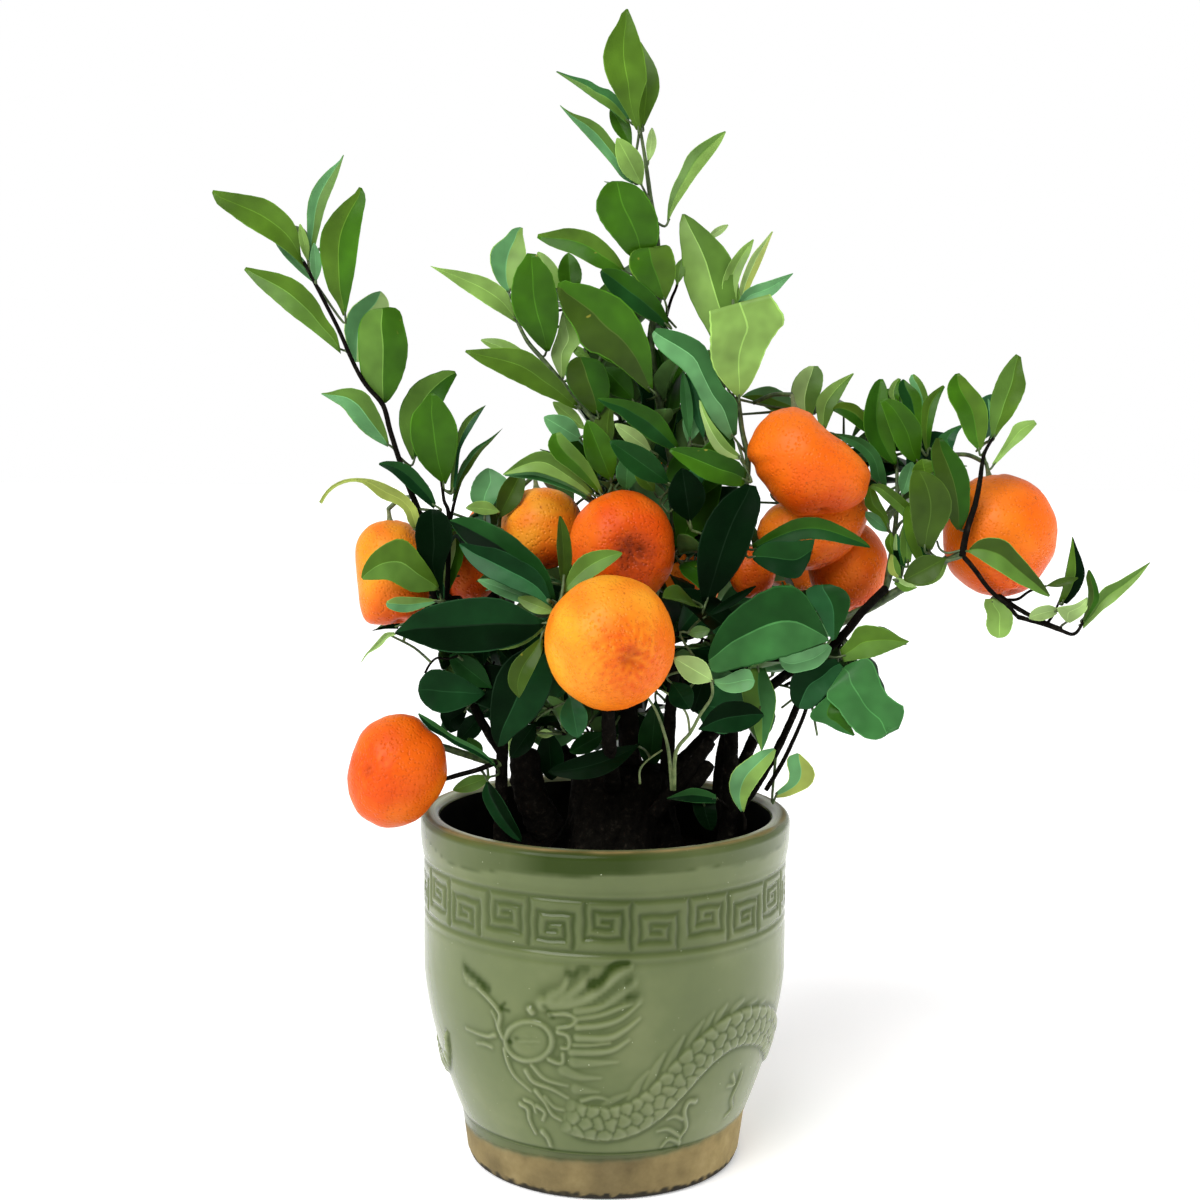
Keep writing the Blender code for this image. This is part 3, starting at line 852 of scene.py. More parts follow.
def build_trunk():
    """The pruned stump, with furrowed bark and its spreading roots."""
    sides, rings = 120, 60
    vertices = []
    for step in range(rings):
        share = step / (rings - 1)
        centre = TRUNK_FOOT.lerp(TRUNK_TOP, share)
        flare = (1 - share) ** FLARE_POWER
        crown_rounding = 1 - 0.10 * max(0.0, (share - 0.92) / 0.08) ** 2
        for side in range(sides):
            angle = 2 * math.pi * side / sides
            roots = ROOT_RELIEF * flare * math.cos(ROOT_COUNT * angle + ROOT_TURN)
            waist = WAIST_RELIEF * math.sin(3 * angle + 5 * share)
            radius = (TRUNK_TOP_RADIUS + TRUNK_FLARE * flare) * (1 + roots + waist) * crown_rounding
            spot = Vector((math.cos(angle) * 4, math.sin(angle) * 4, share * 1.6))
            furrow = abs(noise.noise(spot * 1.6)) * 0.10 + 0.03 * noise.noise(spot * 5)
            radius *= 1 - furrow
            vertices.append(centre + Vector((radius * math.cos(angle),
                                             radius * math.sin(angle) * TRUNK_DEPTH_SHARE, 0)))
    faces = grid_faces(rings, sides, wrap=True)
    rim = (rings - 1) * sides
    cap_rings = 8
    for ring in range(1, cap_rings + 1):
        share = ring / cap_rings
        for side in range(sides):
            edge = vertices[rim + side]
            height = 0.002 * share + 0.0012 * noise.noise(edge * 160 + Vector((0, 0, ring)))
            vertices.append(edge.lerp(TRUNK_TOP, share * 0.995) + Vector((0, 0, height)))
    last = rim
    for ring in range(1, cap_rings + 1):
        start = rings * sides + (ring - 1) * sides
        for side in range(sides):
            right = (side + 1) % sides
            faces.append((last + side, last + right, start + right, start + side))
        last = start
    piece = Piece("trunk_bark")
    piece.add(vertices, faces, BARK)
    return piece.build("bark", "trunk")


# Shoots read off the photograph: pixels along each, its depths at foot and tip, and its radii
Shoot = namedtuple("Shoot", "name pixels depths radii bark")

SHOOTS = (
    Shoot("left_leader", ((447, 640), (432, 590), (425, 545), (420, 515), (408, 485), (400, 462), (390, 430),
          (383, 405), (366, 385), (352, 360), (338, 328), (320, 293), (304, 262)), (-0.015, 0.0),
          (0.0018, 0.0009), "brown"),
    Shoot("left_twin", ((447, 600), (449, 520), (444, 500), (441, 478)), (-0.010, 0.0), (0.0014, 0.0007), "brown"),
    Shoot("left_fork", ((450, 522), (455, 500), (462, 478)), (0.0, 0.004), (0.0010, 0.0006), "brown"),
    Shoot("centre_leader", ((640, 640), (668, 540), (676, 490), (668, 440), (655, 380), (651, 335), (660, 290),
          (657, 240), (650, 195), (646, 165), (640, 128)), (0.010, 0.0), (0.0032, 0.0008), "green"),
    Shoot("centre_left", ((668, 500), (640, 462), (612, 438), (575, 398), (545, 362), (528, 342), (519, 325),
          (514, 312)), (0.0, 0.015), (0.0020, 0.0008), "green"),
    Shoot("centre_right", ((700, 560), (740, 500), (748, 462), (742, 430), (738, 395), (735, 350), (733, 300)),
          (-0.010, -0.012), (0.0020, 0.0008), "green"),
    Shoot("centre_twig", ((664, 325), (671, 300), (677, 285), (680, 262)), (0.0, 0.008), (0.0009, 0.0006), "brown"),
    Shoot("right_bough_foot", ((905, 578), (925, 570), (945, 561), (963, 553)), (-0.014, -0.030),
          (0.0018, 0.0016), "green"),
    Shoot("right_bough", ((962, 556), (967, 530), (975, 505), (980, 480), (982, 465), (985, 452), (993, 438)),
          (-0.030, -0.028), (0.0019, 0.0007), "brown"),
    Shoot("right_bough_front", ((963, 556), (975, 570), (985, 584), (995, 595), (1006, 604), (1018, 617)),
          (-0.030, -0.012), (0.0013, 0.0011), "brown"),
    Shoot("right_fork", ((965, 556), (950, 560), (938, 558), (930, 552), (928, 545), (935, 541)),
          (-0.030, -0.026), (0.0009, 0.0005), "green"),
    Shoot("right_fork_side", ((962, 550), (948, 553), (940, 549), (937, 541)), (-0.030, -0.026),
          (0.0007, 0.0005), "green"),
    Shoot("left_curl", ((425, 673), (430, 664), (437, 658), (447, 659), (458, 656)), (-0.060, -0.056),
          (0.0006, 0.0006), "brown"),
    Shoot("right_hanging", ((1018, 617), (1040, 623), (1060, 630), (1074, 634), (1083, 622), (1088, 606)),
          (-0.010, -0.010), (0.0013, 0.0007), "brown"),
    Shoot("right_hanging_side", ((1006, 600), (1018, 599), (1030, 591), (1046, 586)), (-0.009, -0.014),
          (0.0009, 0.0006), "brown"),
    Shoot("right_hanging_up", ((1046, 625), (1053, 615), (1060, 600)), (-0.010, -0.010), (0.0009, 0.0006), "brown"),
    Shoot("right_low", ((752, 700), (790, 672), (828, 648), (846, 632), (862, 612), (886, 588)), (-0.030, -0.006),
          (0.0026, 0.0022), "brown"),
    Shoot("right_upright", ((886, 588), (900, 540), (915, 500), (922, 465)), (-0.004, 0.0), (0.0018, 0.0008),
          "green"),
    Shoot("right_upright_back", ((886, 585), (896, 520), (897, 480), (896, 455)), (-0.002, 0.012),
          (0.0015, 0.0008), "green"),
    Shoot("front_fan", ((604, 700), (575, 650), (556, 610), (548, 600)), (-0.050, -0.078), (0.0018, 0.0010),
          "green"),
    Shoot("front_fan_up", ((556, 612), (562, 595), (564, 575)), (-0.074, -0.068), (0.0012, 0.0007), "green"),
    Shoot("hanging_stalk", ((497, 762), (480, 769), (462, 774), (445, 779)), (-0.038, -0.050), (0.0014, 0.0012),
          "brown"),
    Shoot("stem_beside", ((716, 830), (718, 790), (722, 750), (731, 712)), (0.002, 0.004), (0.0036, 0.0026),
          "brown"),
    Shoot("stem_outer", ((766, 790), (781, 765), (792, 743), (804, 715), (811, 692), (822, 672)), (-0.024, -0.034),
          (0.0013, 0.0009), "brown"),
    Shoot("pot_leaf_stem", ((745, 830), (745, 820), (742, 811)), (-0.038, -0.040), (0.0009, 0.0006), "brown"),
    Shoot("pot_leaf_stalk", ((728, 808), (722, 802), (717, 799)), (-0.010, -0.024), (0.0009, 0.0006), "brown"),
    Shoot("sprout_left", ((672, 790), (668, 748), (658, 715), (648, 698)), (-0.030, -0.038), (0.0010, 0.0006),
          "young"),
    Shoot("sprout_right", ((674, 790), (676, 752), (690, 733), (700, 715), (712, 696), (711, 678)),
          (-0.030, -0.060), (0.0011, 0.0007), "young"),
    Shoot("sprout_fork", ((690, 735), (687, 715), (676, 700), (662, 690)), (-0.038, -0.040), (0.0007, 0.0005),
          "young"),
    Shoot("sprout_curl", ((640, 784), (640, 770), (648, 760), (662, 750)), (-0.032, -0.030), (0.0006, 0.0005),
          "young"),
)


def place_shoots():
    """Each shoot's path and radii in metres."""
    placed = {}
    for shoot in SHOOTS:
        count = len(shoot.pixels) - 1
        points = []
        for step, (across, down) in enumerate(shoot.pixels):
            depth = shoot.depths[0] + (shoot.depths[1] - shoot.depths[0]) * step / count
            points.append(at(across, down, depth))
        path = smooth_path(points, 5)
        last = len(path) - 1
        radii = [shoot.radii[0] + (shoot.radii[1] - shoot.radii[0]) * i / last for i in range(last + 1)]
        placed[shoot.name] = (path, radii, shoot.bark)
    return placed


SHOOT_PATHS = place_shoots()

# Leaves read off the photograph: shade, pixels of foot and tip, width in pixels, depth of the foot
# and how much deeper the tip is in millimetres, turn from facing the camera in degrees, sweep, and
# how blunt it is
Leaf = namedtuple("Leaf", "shade foot tip width depth deeper turn sweep blunt", defaults=(0.0,))

LEAVES = (
    # left tip
    Leaf("pale", (316, 285), (276, 243), 12, 4, 14, 30, 0),
    Leaf("pale", (316, 282), (314, 243), 11, -2, -8, 20, 0),
    Leaf("light", (308, 262), (300, 224), 9, 0, -4, 10, 0),
    # left leader
    Leaf("olive", (497, 520), (522, 470), 24, 6, 6, 10, 0),
    Leaf("light", (500, 512), (466, 508), 14, 0, -6, 30, 0),
    # fan to the left of the front fruit
    Leaf("pale", (550, 608), (478, 580), 16, -70, 16, 10, 0),
    Leaf("light", (556, 613), (518, 598), 16, -72, 4, 0, 0),
    Leaf("light", (547, 626), (498, 649), 14, -76, 6, 0, 0),
    Leaf("forest", (492, 688), (450, 655), 26, -56, 4, 0, 0),
    Leaf("blue", (570, 695), (578, 738), 28, -62, -4, 0, 0),
    Leaf("fresh", (563, 594), (622, 553), 24, -68, 4, -10, 0.10),
    Leaf("olive", (563, 590), (560, 516), 15, -66, 10, 30, 0),
    # centre leader
    Leaf("light", (642, 186), (617, 138), 24, -4, -8, 0, 0),
    Leaf("silver", (648, 163), (652, 128), 10, 2, 4, 20, 0),
    Leaf("bright", (632, 147), (611, 108), 17, 4, 8, 0, 0),
    Leaf("fresh", (677, 285), (681, 260), 11, 4, 4, 0, 0),
    Leaf("bright", (572, 300), (568, 253), 24, 18, 6, 0, 0),
    Leaf("light", (562, 300), (538, 252), 20, 22, 6, 0, 0),
    Leaf("light", (532, 362), (481, 340), 15, 12, 2, 20, 0),
    Leaf("mid", (634, 400), (604, 368), 26, 2, 4, 0, 0),
    Leaf("pale", (582, 440), (544, 417), 24, 8, -4, 0, 0),
    Leaf("bright", (612, 482), (587, 420), 30, -6, -8, 0, 0),
    Leaf("forest", (670, 484), (610, 441), 28, -22, -10, 0, 0),
    Leaf("silver", (652, 452), (615, 424), 16, -10, -4, 0, 0),
    Leaf("sage", (626, 492), (628, 452), 22, -10, -4, 0, 0),
    Leaf("moss", (655, 492), (634, 466), 16, -14, -4, 0, 0),
    # centre right
    Leaf("silver", (706, 240), (728, 225), 8, 14, 4, 0, 0),
    Leaf("deep", (690, 522), (682, 468), 38, -26, -4, 0, 0),
    Leaf("pale", (688, 444), (697, 400), 20, -4, 4, 0, 0),
    Leaf("sage", (690, 440), (683, 372), 12, -8, 0, 0, 0),
    Leaf("blue", (704, 440), (688, 368), 14, -6, 2, 0, 0),
    # upper right
    Leaf("pale", (890, 532), (864, 512), 14, -2, -4, 0, 0),
    Leaf("pale", (902, 496), (912, 462), 18, 4, 2, 0, 0),
    Leaf("moss", (926, 480), (922, 459), 26, -10, 0, 0, 0),
    # right bough
    Leaf("pale", (991, 440), (988, 399), 6, -26, 4, 40, 0),
    Leaf("olive", (946, 558), (904, 580), 28, -32, 2, 0, 0),
    Leaf("light", (948, 561), (914, 585), 20, -22, -4, 0, 0),
    Leaf("olive", (1046, 586), (1078, 578), 9, -14, -4, 0, 0),
    # right front
    Leaf("silver", (713, 681), (674, 658), 26, -64, -6, 0, 0),
    Leaf("under", (688, 634), (710, 630), 13, -62, -2, 0, 0),
    Leaf("deep", (704, 618), (756, 586), 9, -56, 4, 0, 0),
    Leaf("dark", (672, 682), (690, 709), 26, -56, -4, 0, 0),
    # among the stems and in the pot
    Leaf("deep", (640, 744), (548, 772), 26, -40, -6, 0, 0.06),
    Leaf("dark", (548, 728), (552, 780), 28, 6, 4, 0, 0),
    Leaf("forest", (606, 732), (570, 752), 20, 8, 4, 0, 0),
    Leaf("forest", (656, 700), (650, 768), 30, 8, 6, 0, 0),
    Leaf("dark", (636, 712), (662, 752), 22, 14, 6, 0, 0),
    Leaf("deep", (706, 672), (693, 712), 26, -24, -2, 0, 0),
    Leaf("dark", (484, 712), (458, 742), 22, -16, -2, 0, 0),
    Leaf("fresh", (492, 776), (453, 790), 16, -26, -2, 0, 0),
    Leaf("light", (586, 430), (553, 402), 15, 8, 2, 0, 0),
    Leaf("fresh", (592, 362), (570, 345), 10, 12, 2, 0, 0),
    Leaf("deep", (536, 722), (511, 758), 22, -52, -4, 0, 0),
    Leaf("mid", (482, 757), (468, 738), 15, -24, -2, 0, 0),
)

# Leaves whose outlines were read off the photograph: the shades of their two halves, where they differ
# painted light and shade on the two sides of the fold, the pixels along the edge of each half from foot to tip,
# the depth of the foot and how much deeper the tip is, and how much nearer the edges are than the middle rib,
# in millimetres
Blade = namedtuple("Blade", "shades first second depth deeper fold", defaults=(2.0,))

BLADES = (
    # left tip
    Blade(("moss", "moss"),
          ((305, 268), (290, 254), (275, 243), (260, 234), (245, 225), (230, 214), (217, 204), (212, 193)),
          ((301, 258), (300, 245), (298, 233), (292, 220), (280, 208), (266, 199), (248, 195), (228, 192),
           (213, 190)), 0, -8),
    Blade(("pale", "fresh"),
          ((309, 262), (307, 245), (307, 228), (307, 210), (310, 195), (317, 182), (328, 170), (338, 162),
           (343, 155)),
          ((313, 260), (316, 244), (320, 228), (324, 212), (328, 200), (333, 188), (338, 175), (341, 165),
           (344, 155)), 0, 12),
    Blade(("moss", "bright"),
          ((343, 316), (337, 303), (329, 291), (324, 275), (320, 255), (320, 240), (323, 228), (333, 213),
           (345, 201), (355, 193), (359, 187)),
          ((346, 314), (350, 295), (355, 270), (359, 240), (363, 215), (366, 198), (362, 188)), 0, -6),
    Blade(("fresh", "moss"),
          ((341, 354), (330, 345), (310, 329), (290, 314), (275, 301), (258, 286), (244, 270)),
          ((340, 347), (336, 332), (326, 318), (318, 302), (308, 290), (296, 280), (278, 273), (262, 270),
           (246, 267)), 0, 6),
    # left leader
    Blade(("pale", "silver"),
          ((351, 362), (347, 345), (344, 330), (346, 318), (352, 307), (362, 299), (372, 293), (380, 291)),
          ((362, 362), (370, 340), (380, 322), (389, 308), (387, 298), (382, 292)), 6, 18),
    Blade(("fresh", "bright"),
          ((381, 403), (372, 395), (363, 380), (359, 362), (358, 340), (359, 325), (365, 314), (373, 309),
           (380, 309)),
          ((386, 403), (392, 397), (400, 383), (406, 365), (408, 345), (404, 325), (400, 311), (392, 307),
           (384, 308)), -2, -8, -3.0),
    Blade(("pale", "fresh"),
          ((388, 447), (376, 441), (363, 432), (352, 420), (343, 408), (334, 402), (321, 394)),
          ((389, 443), (386, 430), (380, 415), (372, 400), (365, 392), (352, 388), (340, 389), (330, 392),
           (322, 393)), 0, -4),
    Blade(("fresh", "mid"),
          ((412, 460), (403, 441), (399, 425), (400, 408), (405, 397), (413, 385), (425, 377), (435, 373),
           (445, 370), (455, 371)),
          ((416, 458), (424, 440), (434, 420), (443, 402), (450, 388), (457, 375)), 2, 10),
    Blade(("bright", "bright"),
          ((442, 483), (432, 475), (420, 462), (412, 445), (410, 430), (412, 415), (420, 405), (427, 396),
           (430, 393)),
          ((446, 484), (452, 470), (457, 450), (458, 432), (454, 418), (446, 405), (440, 398), (433, 393)),
          -2, -10),
    Blade(("dark", "forest"),
          ((434, 509), (420, 498), (405, 485), (392, 473), (379, 465)),
          ((436, 503), (431, 490), (423, 479), (413, 468), (400, 462), (386, 461), (379, 463)), -18, -2),
    Blade(("lime", "lime"),
          ((415, 531), (408, 522), (405, 512), (396, 504), (382, 499), (372, 491), (362, 483), (350, 482),
           (338, 486), (328, 494), (322, 504)),
          ((419, 529), (419, 514), (413, 503), (403, 493), (390, 486), (375, 480), (360, 478), (346, 479),
           (334, 484), (325, 492), (319, 502)), -16, -8),
    Blade(("pale", "pale"),
          ((482, 515), (471, 500), (471, 488), (476, 477), (482, 471), (487, 468)),
          ((488, 515), (496, 500), (508, 483), (502, 475), (492, 469)), 8, 6),
    Blade(("deep", "deep"),
          ((438, 596), (430, 580), (420, 565), (416, 545), (415, 530), (420, 515), (430, 509)),
          ((443, 598), (443, 580), (446, 560), (452, 545), (452, 530), (448, 518), (441, 511), (434, 509)),
          -20, 0),
    Blade(("fresh", "moss"),
          ((438, 590), (425, 592), (412, 592), (400, 586), (388, 580), (375, 580), (363, 580)),
          ((439, 586), (432, 572), (422, 558), (413, 546), (403, 539), (393, 540), (380, 547), (370, 556),
           (363, 568), (361, 577)), -28, -10),
    Blade(("pale", "light"),
          ((437, 602), (425, 607), (410, 612), (398, 612), (388, 608), (386, 604)),
          ((437, 600), (425, 598), (410, 597), (396, 597), (387, 601)), -30, -6),
    Blade(("silver", "bright"),
          ((446, 592), (442, 578), (442, 563), (448, 550), (455, 538)),
          ((450, 590), (457, 575), (463, 560), (462, 548), (457, 538)), -6, 4),
    Blade(("fresh", "blue"),
          ((450, 492), (451, 472), (454, 450), (458, 432), (464, 420), (472, 413), (480, 408), (486, 405)),
          ((455, 490), (458, 472), (460, 452), (465, 440), (471, 430), (478, 418), (486, 405)), 0, 8),
    Blade(("sage", "olive"),
          ((452, 502), (456, 480), (461, 465), (466, 458), (472, 450), (480, 444), (490, 438), (503, 428)),
          ((454, 500), (463, 480), (470, 470), (476, 460), (483, 450), (490, 443), (503, 428)), 2, 10),
    # fan to the left of the front fruit
    Blade(("deep", "forest"),
          ((552, 603), (530, 592), (505, 573), (485, 556), (468, 545), (457, 533), (450, 522)),
          ((556, 600), (550, 577), (540, 560), (527, 548), (512, 535), (497, 527), (485, 521), (470, 517),
           (455, 518), (450, 520)), -68, 16),
    Blade(("blue", "dark"),
          ((551, 607), (535, 597), (515, 590), (500, 583), (487, 577), (475, 568), (466, 558), (459, 545)),
          ((552, 603), (548, 590), (543, 578), (533, 567), (520, 560), (508, 553), (495, 548), (480, 546),
           (465, 543), (460, 543)), -76, 12),
    Blade(("deep", "dark"),
          ((545, 625), (530, 638), (510, 647), (485, 652), (460, 653), (440, 651), (425, 646), (412, 641),
           (403, 637), (395, 634)),
          ((545, 621), (535, 616), (520, 607), (505, 600), (485, 597), (460, 599), (440, 603), (425, 608),
           (412, 615), (403, 624), (395, 632)), -78, 14),
    Blade(("dark", "deep"),
          ((552, 655), (554, 675), (549, 695), (540, 712), (528, 725), (515, 735), (505, 745), (498, 747)),
          ((542, 645), (522, 650), (505, 662), (495, 680), (491, 700), (490, 720), (492, 736), (497, 746)),
          -78, 12),
    Blade(("olive", "olive"),
          ((543, 638), (542, 652), (537, 664), (530, 678), (524, 690), (520, 697)),
          ((540, 638), (525, 650), (513, 662), (508, 675), (509, 686), (515, 694), (519, 698)), -86, -4),
    Blade(("dark", "dark"),
          ((485, 694), (475, 702), (462, 708), (450, 712), (440, 713), (430, 709), (421, 700), (418, 691)),
          ((484, 691), (472, 684), (462, 677), (450, 672), (438, 669), (428, 671), (420, 680), (418, 689)),
          -60, 4),
    # centre leader
    Blade(("moss", "moss"),
          ((636, 130), (626, 112), (613, 90), (606, 75), (603, 60), (604, 50), (609, 36), (617, 24), (622, 12),
           (626, 9)),
          ((641, 130), (639, 110), (643, 92), (647, 80), (645, 60), (643, 50), (640, 40), (636, 28), (632, 18),
           (628, 9)), -4, -6),
    Blade(("moss", "moss"),
          ((641, 131), (634, 100), (634, 70), (638, 42)),
          ((645, 125), (652, 110), (659, 93), (659, 78), (655, 65), (648, 53), (641, 42)), 4, 14),
    Blade(("fresh", "sage"),
          ((628, 125), (612, 111), (600, 103), (590, 96), (575, 85), (556, 72)),
          ((630, 118), (620, 100), (610, 90), (600, 87), (588, 80), (572, 76), (557, 71)), 2, 8),
    Blade(("pale", "fresh"),
          ((633, 184), (622, 178), (612, 165), (600, 151), (590, 140), (580, 129), (570, 118), (560, 106)),
          ((635, 180), (628, 165), (618, 148), (610, 137), (602, 127), (590, 119), (575, 114), (567, 110),
           (560, 105)), -4, -8),
    Blade(("fresh", "light"),
          ((667, 222), (668, 205), (672, 188), (680, 172), (687, 156), (697, 146), (708, 139), (717, 134),
           (725, 131)),
          ((668, 222), (675, 208), (685, 193), (695, 178), (705, 165), (715, 152), (722, 141), (726, 132)),
          2, 12, -2.0),
    Blade(("bright", "bright"),
          ((640, 260), (628, 255), (615, 240), (603, 225), (597, 213), (596, 203), (600, 192), (606, 184),
           (612, 181)),
          ((645, 260), (655, 248), (659, 235), (658, 220), (655, 210), (648, 198), (642, 190), (633, 184),
           (622, 181)), -10, -10),
    Blade(("bright", "moss"),
          ((624, 273), (610, 271), (598, 268), (585, 261), (572, 254), (560, 250), (548, 245), (537, 238)),
          ((625, 269), (617, 255), (608, 245), (600, 238), (590, 232), (578, 229), (566, 228), (552, 231),
           (538, 234)), -2, 8),
    Blade(("bright", "moss"),
          ((663, 300), (650, 292), (638, 281), (630, 270), (629, 260), (632, 252), (641, 248)),
          ((666, 300), (672, 287), (676, 273), (674, 256), (668, 245), (656, 247)), -8, -8),
    Blade(("forest", "mid"),
          ((665, 328), (655, 322), (645, 318), (632, 310), (620, 302), (610, 292), (602, 280), (600, 272)),
          ((669, 322), (662, 305), (650, 290), (640, 282), (630, 275), (620, 270), (610, 268), (602, 269)),
          -6, -8),
    Blade(("olive", "bright"),
          ((650, 393), (640, 385), (625, 372), (612, 362), (600, 355), (590, 352), (581, 345), (575, 330),
           (565, 315), (560, 303), (557, 290)),
          ((653, 388), (651, 352), (646, 335), (638, 318), (628, 305), (615, 295), (600, 289), (585, 284),
           (572, 283), (565, 280), (558, 283)), -16, -18),
    Blade(("light", "light"),
          ((516, 323), (505, 316), (490, 307), (475, 297), (460, 287), (445, 276), (430, 266)),
          ((515, 314), (511, 302), (507, 292), (498, 284), (485, 277), (470, 273), (455, 270), (440, 268),
           (431, 266)), 12, -8),
    Blade(("pale", "light"),
          ((508, 292), (500, 285), (494, 275), (490, 262), (491, 250), (497, 243), (505, 237), (512, 229),
           (520, 227)),
          ((512, 290), (516, 278), (521, 268), (526, 256), (525, 245), (523, 235), (523, 228)), 26, 12),
    Blade(("bright", "bright"),
          ((546, 352), (535, 342), (525, 330), (516, 318), (511, 300), (512, 285), (516, 270), (523, 260),
           (527, 253)),
          ((550, 351), (556, 335), (559, 318), (558, 300), (555, 285), (551, 272), (543, 262), (536, 254)),
          8, -10),
    Blade(("silver", "light"),
          ((561, 379), (553, 362), (551, 352), (557, 335), (560, 320), (563, 309)),
          ((564, 379), (568, 365), (573, 352), (581, 342), (580, 335), (572, 325), (566, 310)), 12, 8),
    Blade(("moss", "moss"),
          ((577, 410), (565, 405), (555, 400), (540, 394), (525, 386), (510, 379), (495, 371), (480, 363),
           (465, 352)),
          ((578, 404), (570, 394), (560, 380), (548, 368), (538, 358), (525, 350), (510, 348), (495, 348),
           (480, 349), (466, 350)), 4, -12),
    Blade(("olive", "mid"),
          ((594, 414), (580, 402), (568, 386), (566, 372), (569, 362), (576, 357)),
          ((601, 413), (608, 400), (610, 388), (609, 378), (605, 367), (598, 360), (585, 357)), 0, -6),
    Blade(("forest", "mid"),
          ((676, 452), (662, 446), (650, 440), (640, 432), (630, 425), (620, 415), (608, 408), (598, 400)),
          ((679, 446), (668, 425), (660, 415), (650, 408), (635, 402), (620, 399), (605, 398), (598, 398)),
          -20, -14),
    Blade(("bright", "fresh"),
          ((598, 493), (585, 482), (570, 470), (556, 460), (549, 450), (548, 442), (552, 434)),
          ((603, 492), (597, 478), (588, 462), (578, 450), (568, 440), (560, 432)), -14, -8),
    Blade(("light", "fresh"),
          ((590, 497), (578, 489), (565, 482), (550, 476), (535, 472), (518, 473), (503, 475)),
          ((593, 492), (582, 480), (570, 470), (560, 461), (548, 452), (535, 452), (520, 460), (510, 468),
           (503, 474)), -12, -6),
    Blade(("sage", "pale"),
          ((588, 500), (570, 491), (550, 484), (535, 480), (520, 478), (505, 476)),
          ((590, 496), (578, 488), (565, 481), (550, 475), (535, 471), (518, 472), (504, 474)), -10, -4),
    # centre right
    Blade(("light", "fresh"),
          ((735, 395), (712, 340), (698, 315), (690, 298), (684, 280), (681, 250), (679, 228), (682, 214)),
          ((740, 393), (744, 340), (741, 300), (733, 262), (722, 245), (708, 231), (695, 220), (685, 214)),
          -2, 12, -3.0),
    Blade(("light", "light"),
          ((737, 397), (728, 388), (718, 376), (712, 364), (710, 350), (710, 330), (709, 311)),
          ((741, 397), (750, 386), (759, 368), (767, 348), (777, 332), (785, 319), (770, 294)), -20, -16, 3.0),
    Blade(("light", "light"),
          ((724, 304), (722, 285), (726, 270), (732, 259), (742, 247), (753, 239)),
          ((736, 304), (738, 285), (743, 269), (750, 254), (754, 240)), 2, 8),
    Blade(("silver", "lime"),
          ((737, 302), (740, 285), (745, 270), (752, 255), (762, 243), (772, 231)),
          ((745, 302), (751, 285), (757, 272), (763, 258), (768, 245), (773, 232)), 4, 2),
    Blade(("pale", "pale"),
          ((738, 302), (745, 291), (755, 285), (768, 281), (780, 277), (793, 273)),
          ((744, 304), (756, 300), (768, 298), (777, 292), (785, 283), (793, 274)), -2, 4),
    Blade(("pale", "sage"),
          ((730, 440), (715, 425), (703, 405), (695, 388), (685, 372), (668, 358), (655, 345), (652, 334)),
          ((737, 434), (737, 402), (724, 388), (712, 365), (706, 347), (690, 336), (672, 330), (656, 328)),
          -14, -10),
    Blade(("silver", "light"),
          ((739, 460), (725, 457), (715, 450), (708, 438), (704, 425), (700, 410), (699, 400)),
          ((741, 456), (730, 445), (722, 435), (712, 422), (705, 410), (701, 401)), -24, -6),
    Blade(("bright", "mid"),
          ((744, 487), (730, 486), (715, 483), (700, 477), (688, 468), (678, 460), (669, 451)),
          ((747, 472), (738, 461), (725, 456), (712, 450), (700, 448), (685, 447), (671, 448)), -28, -10),
    Blade(("deep", "deep"),
          ((702, 602), (698, 580), (697, 555), (702, 532), (712, 512), (727, 495), (745, 484)),
          ((712, 599), (728, 583), (741, 565), (750, 545), (757, 522), (761, 502), (756, 486)), -48, 4),
    Blade(("mid", "forest"),
          ((752, 545), (765, 535), (780, 526), (795, 519), (812, 517), (828, 520), (845, 528), (860, 537),
           (870, 546)),
          ((754, 552), (775, 546), (795, 541), (812, 539), (830, 541), (850, 545), (870, 548)), -42, -10),
    Blade(("forest", "dark"),
          ((752, 553), (762, 545), (775, 541), (790, 541), (803, 540), (815, 539)),
          ((753, 560), (762, 567), (775, 574), (788, 578), (800, 577), (810, 560)), -46, -6),
    # upper right
    Blade(("moss", "pale"),
          ((797, 412), (785, 412), (772, 411), (758, 403), (742, 397)),
          ((797, 408), (792, 399), (780, 390), (768, 386), (752, 390), (742, 396)), 26, -4),
    Blade(("silver", "fresh"),
          ((799, 416), (791, 398), (793, 382), (801, 371), (809, 366)),
          ((812, 416), (817, 402), (822, 388), (823, 374), (818, 366)), 26, 4),
    Blade(("light", "fresh"),
          ((819, 428), (816, 402), (826, 388), (838, 380), (853, 373)),
          ((826, 429), (834, 410), (842, 395), (849, 382), (854, 374)), 20, 6),
    Blade(("moss", "mid"),
          ((876, 430), (863, 411), (855, 404), (845, 402), (838, 403), (833, 408)),
          ((874, 436), (863, 431), (852, 423), (842, 416), (833, 411)), 14, -2),
    Blade(("sage", "sage"),
          ((878, 484), (871, 476), (869, 464), (860, 452), (845, 442), (832, 435)),
          ((887, 487), (885, 470), (878, 452), (865, 440), (850, 435), (833, 433)), 4, -4),
    Blade(("mid", "bright"),
          ((894, 465), (882, 457), (870, 444), (864, 430), (864, 412), (868, 395), (874, 383), (879, 379)),
          ((897, 464), (895, 445), (892, 430), (889, 415), (888, 400), (887, 388), (883, 379)), 6, 4),
    Blade(("light", "bright"),
          ((893, 402), (888, 393), (892, 383), (898, 378)),
          ((899, 404), (899, 390), (901, 379)), 16, 6),
    Blade(("forest", "bright"),
          ((915, 440), (903, 405), (898, 392), (899, 383), (903, 379)),
          ((922, 440), (922, 405), (919, 393), (912, 386), (905, 380)), 10, 4),
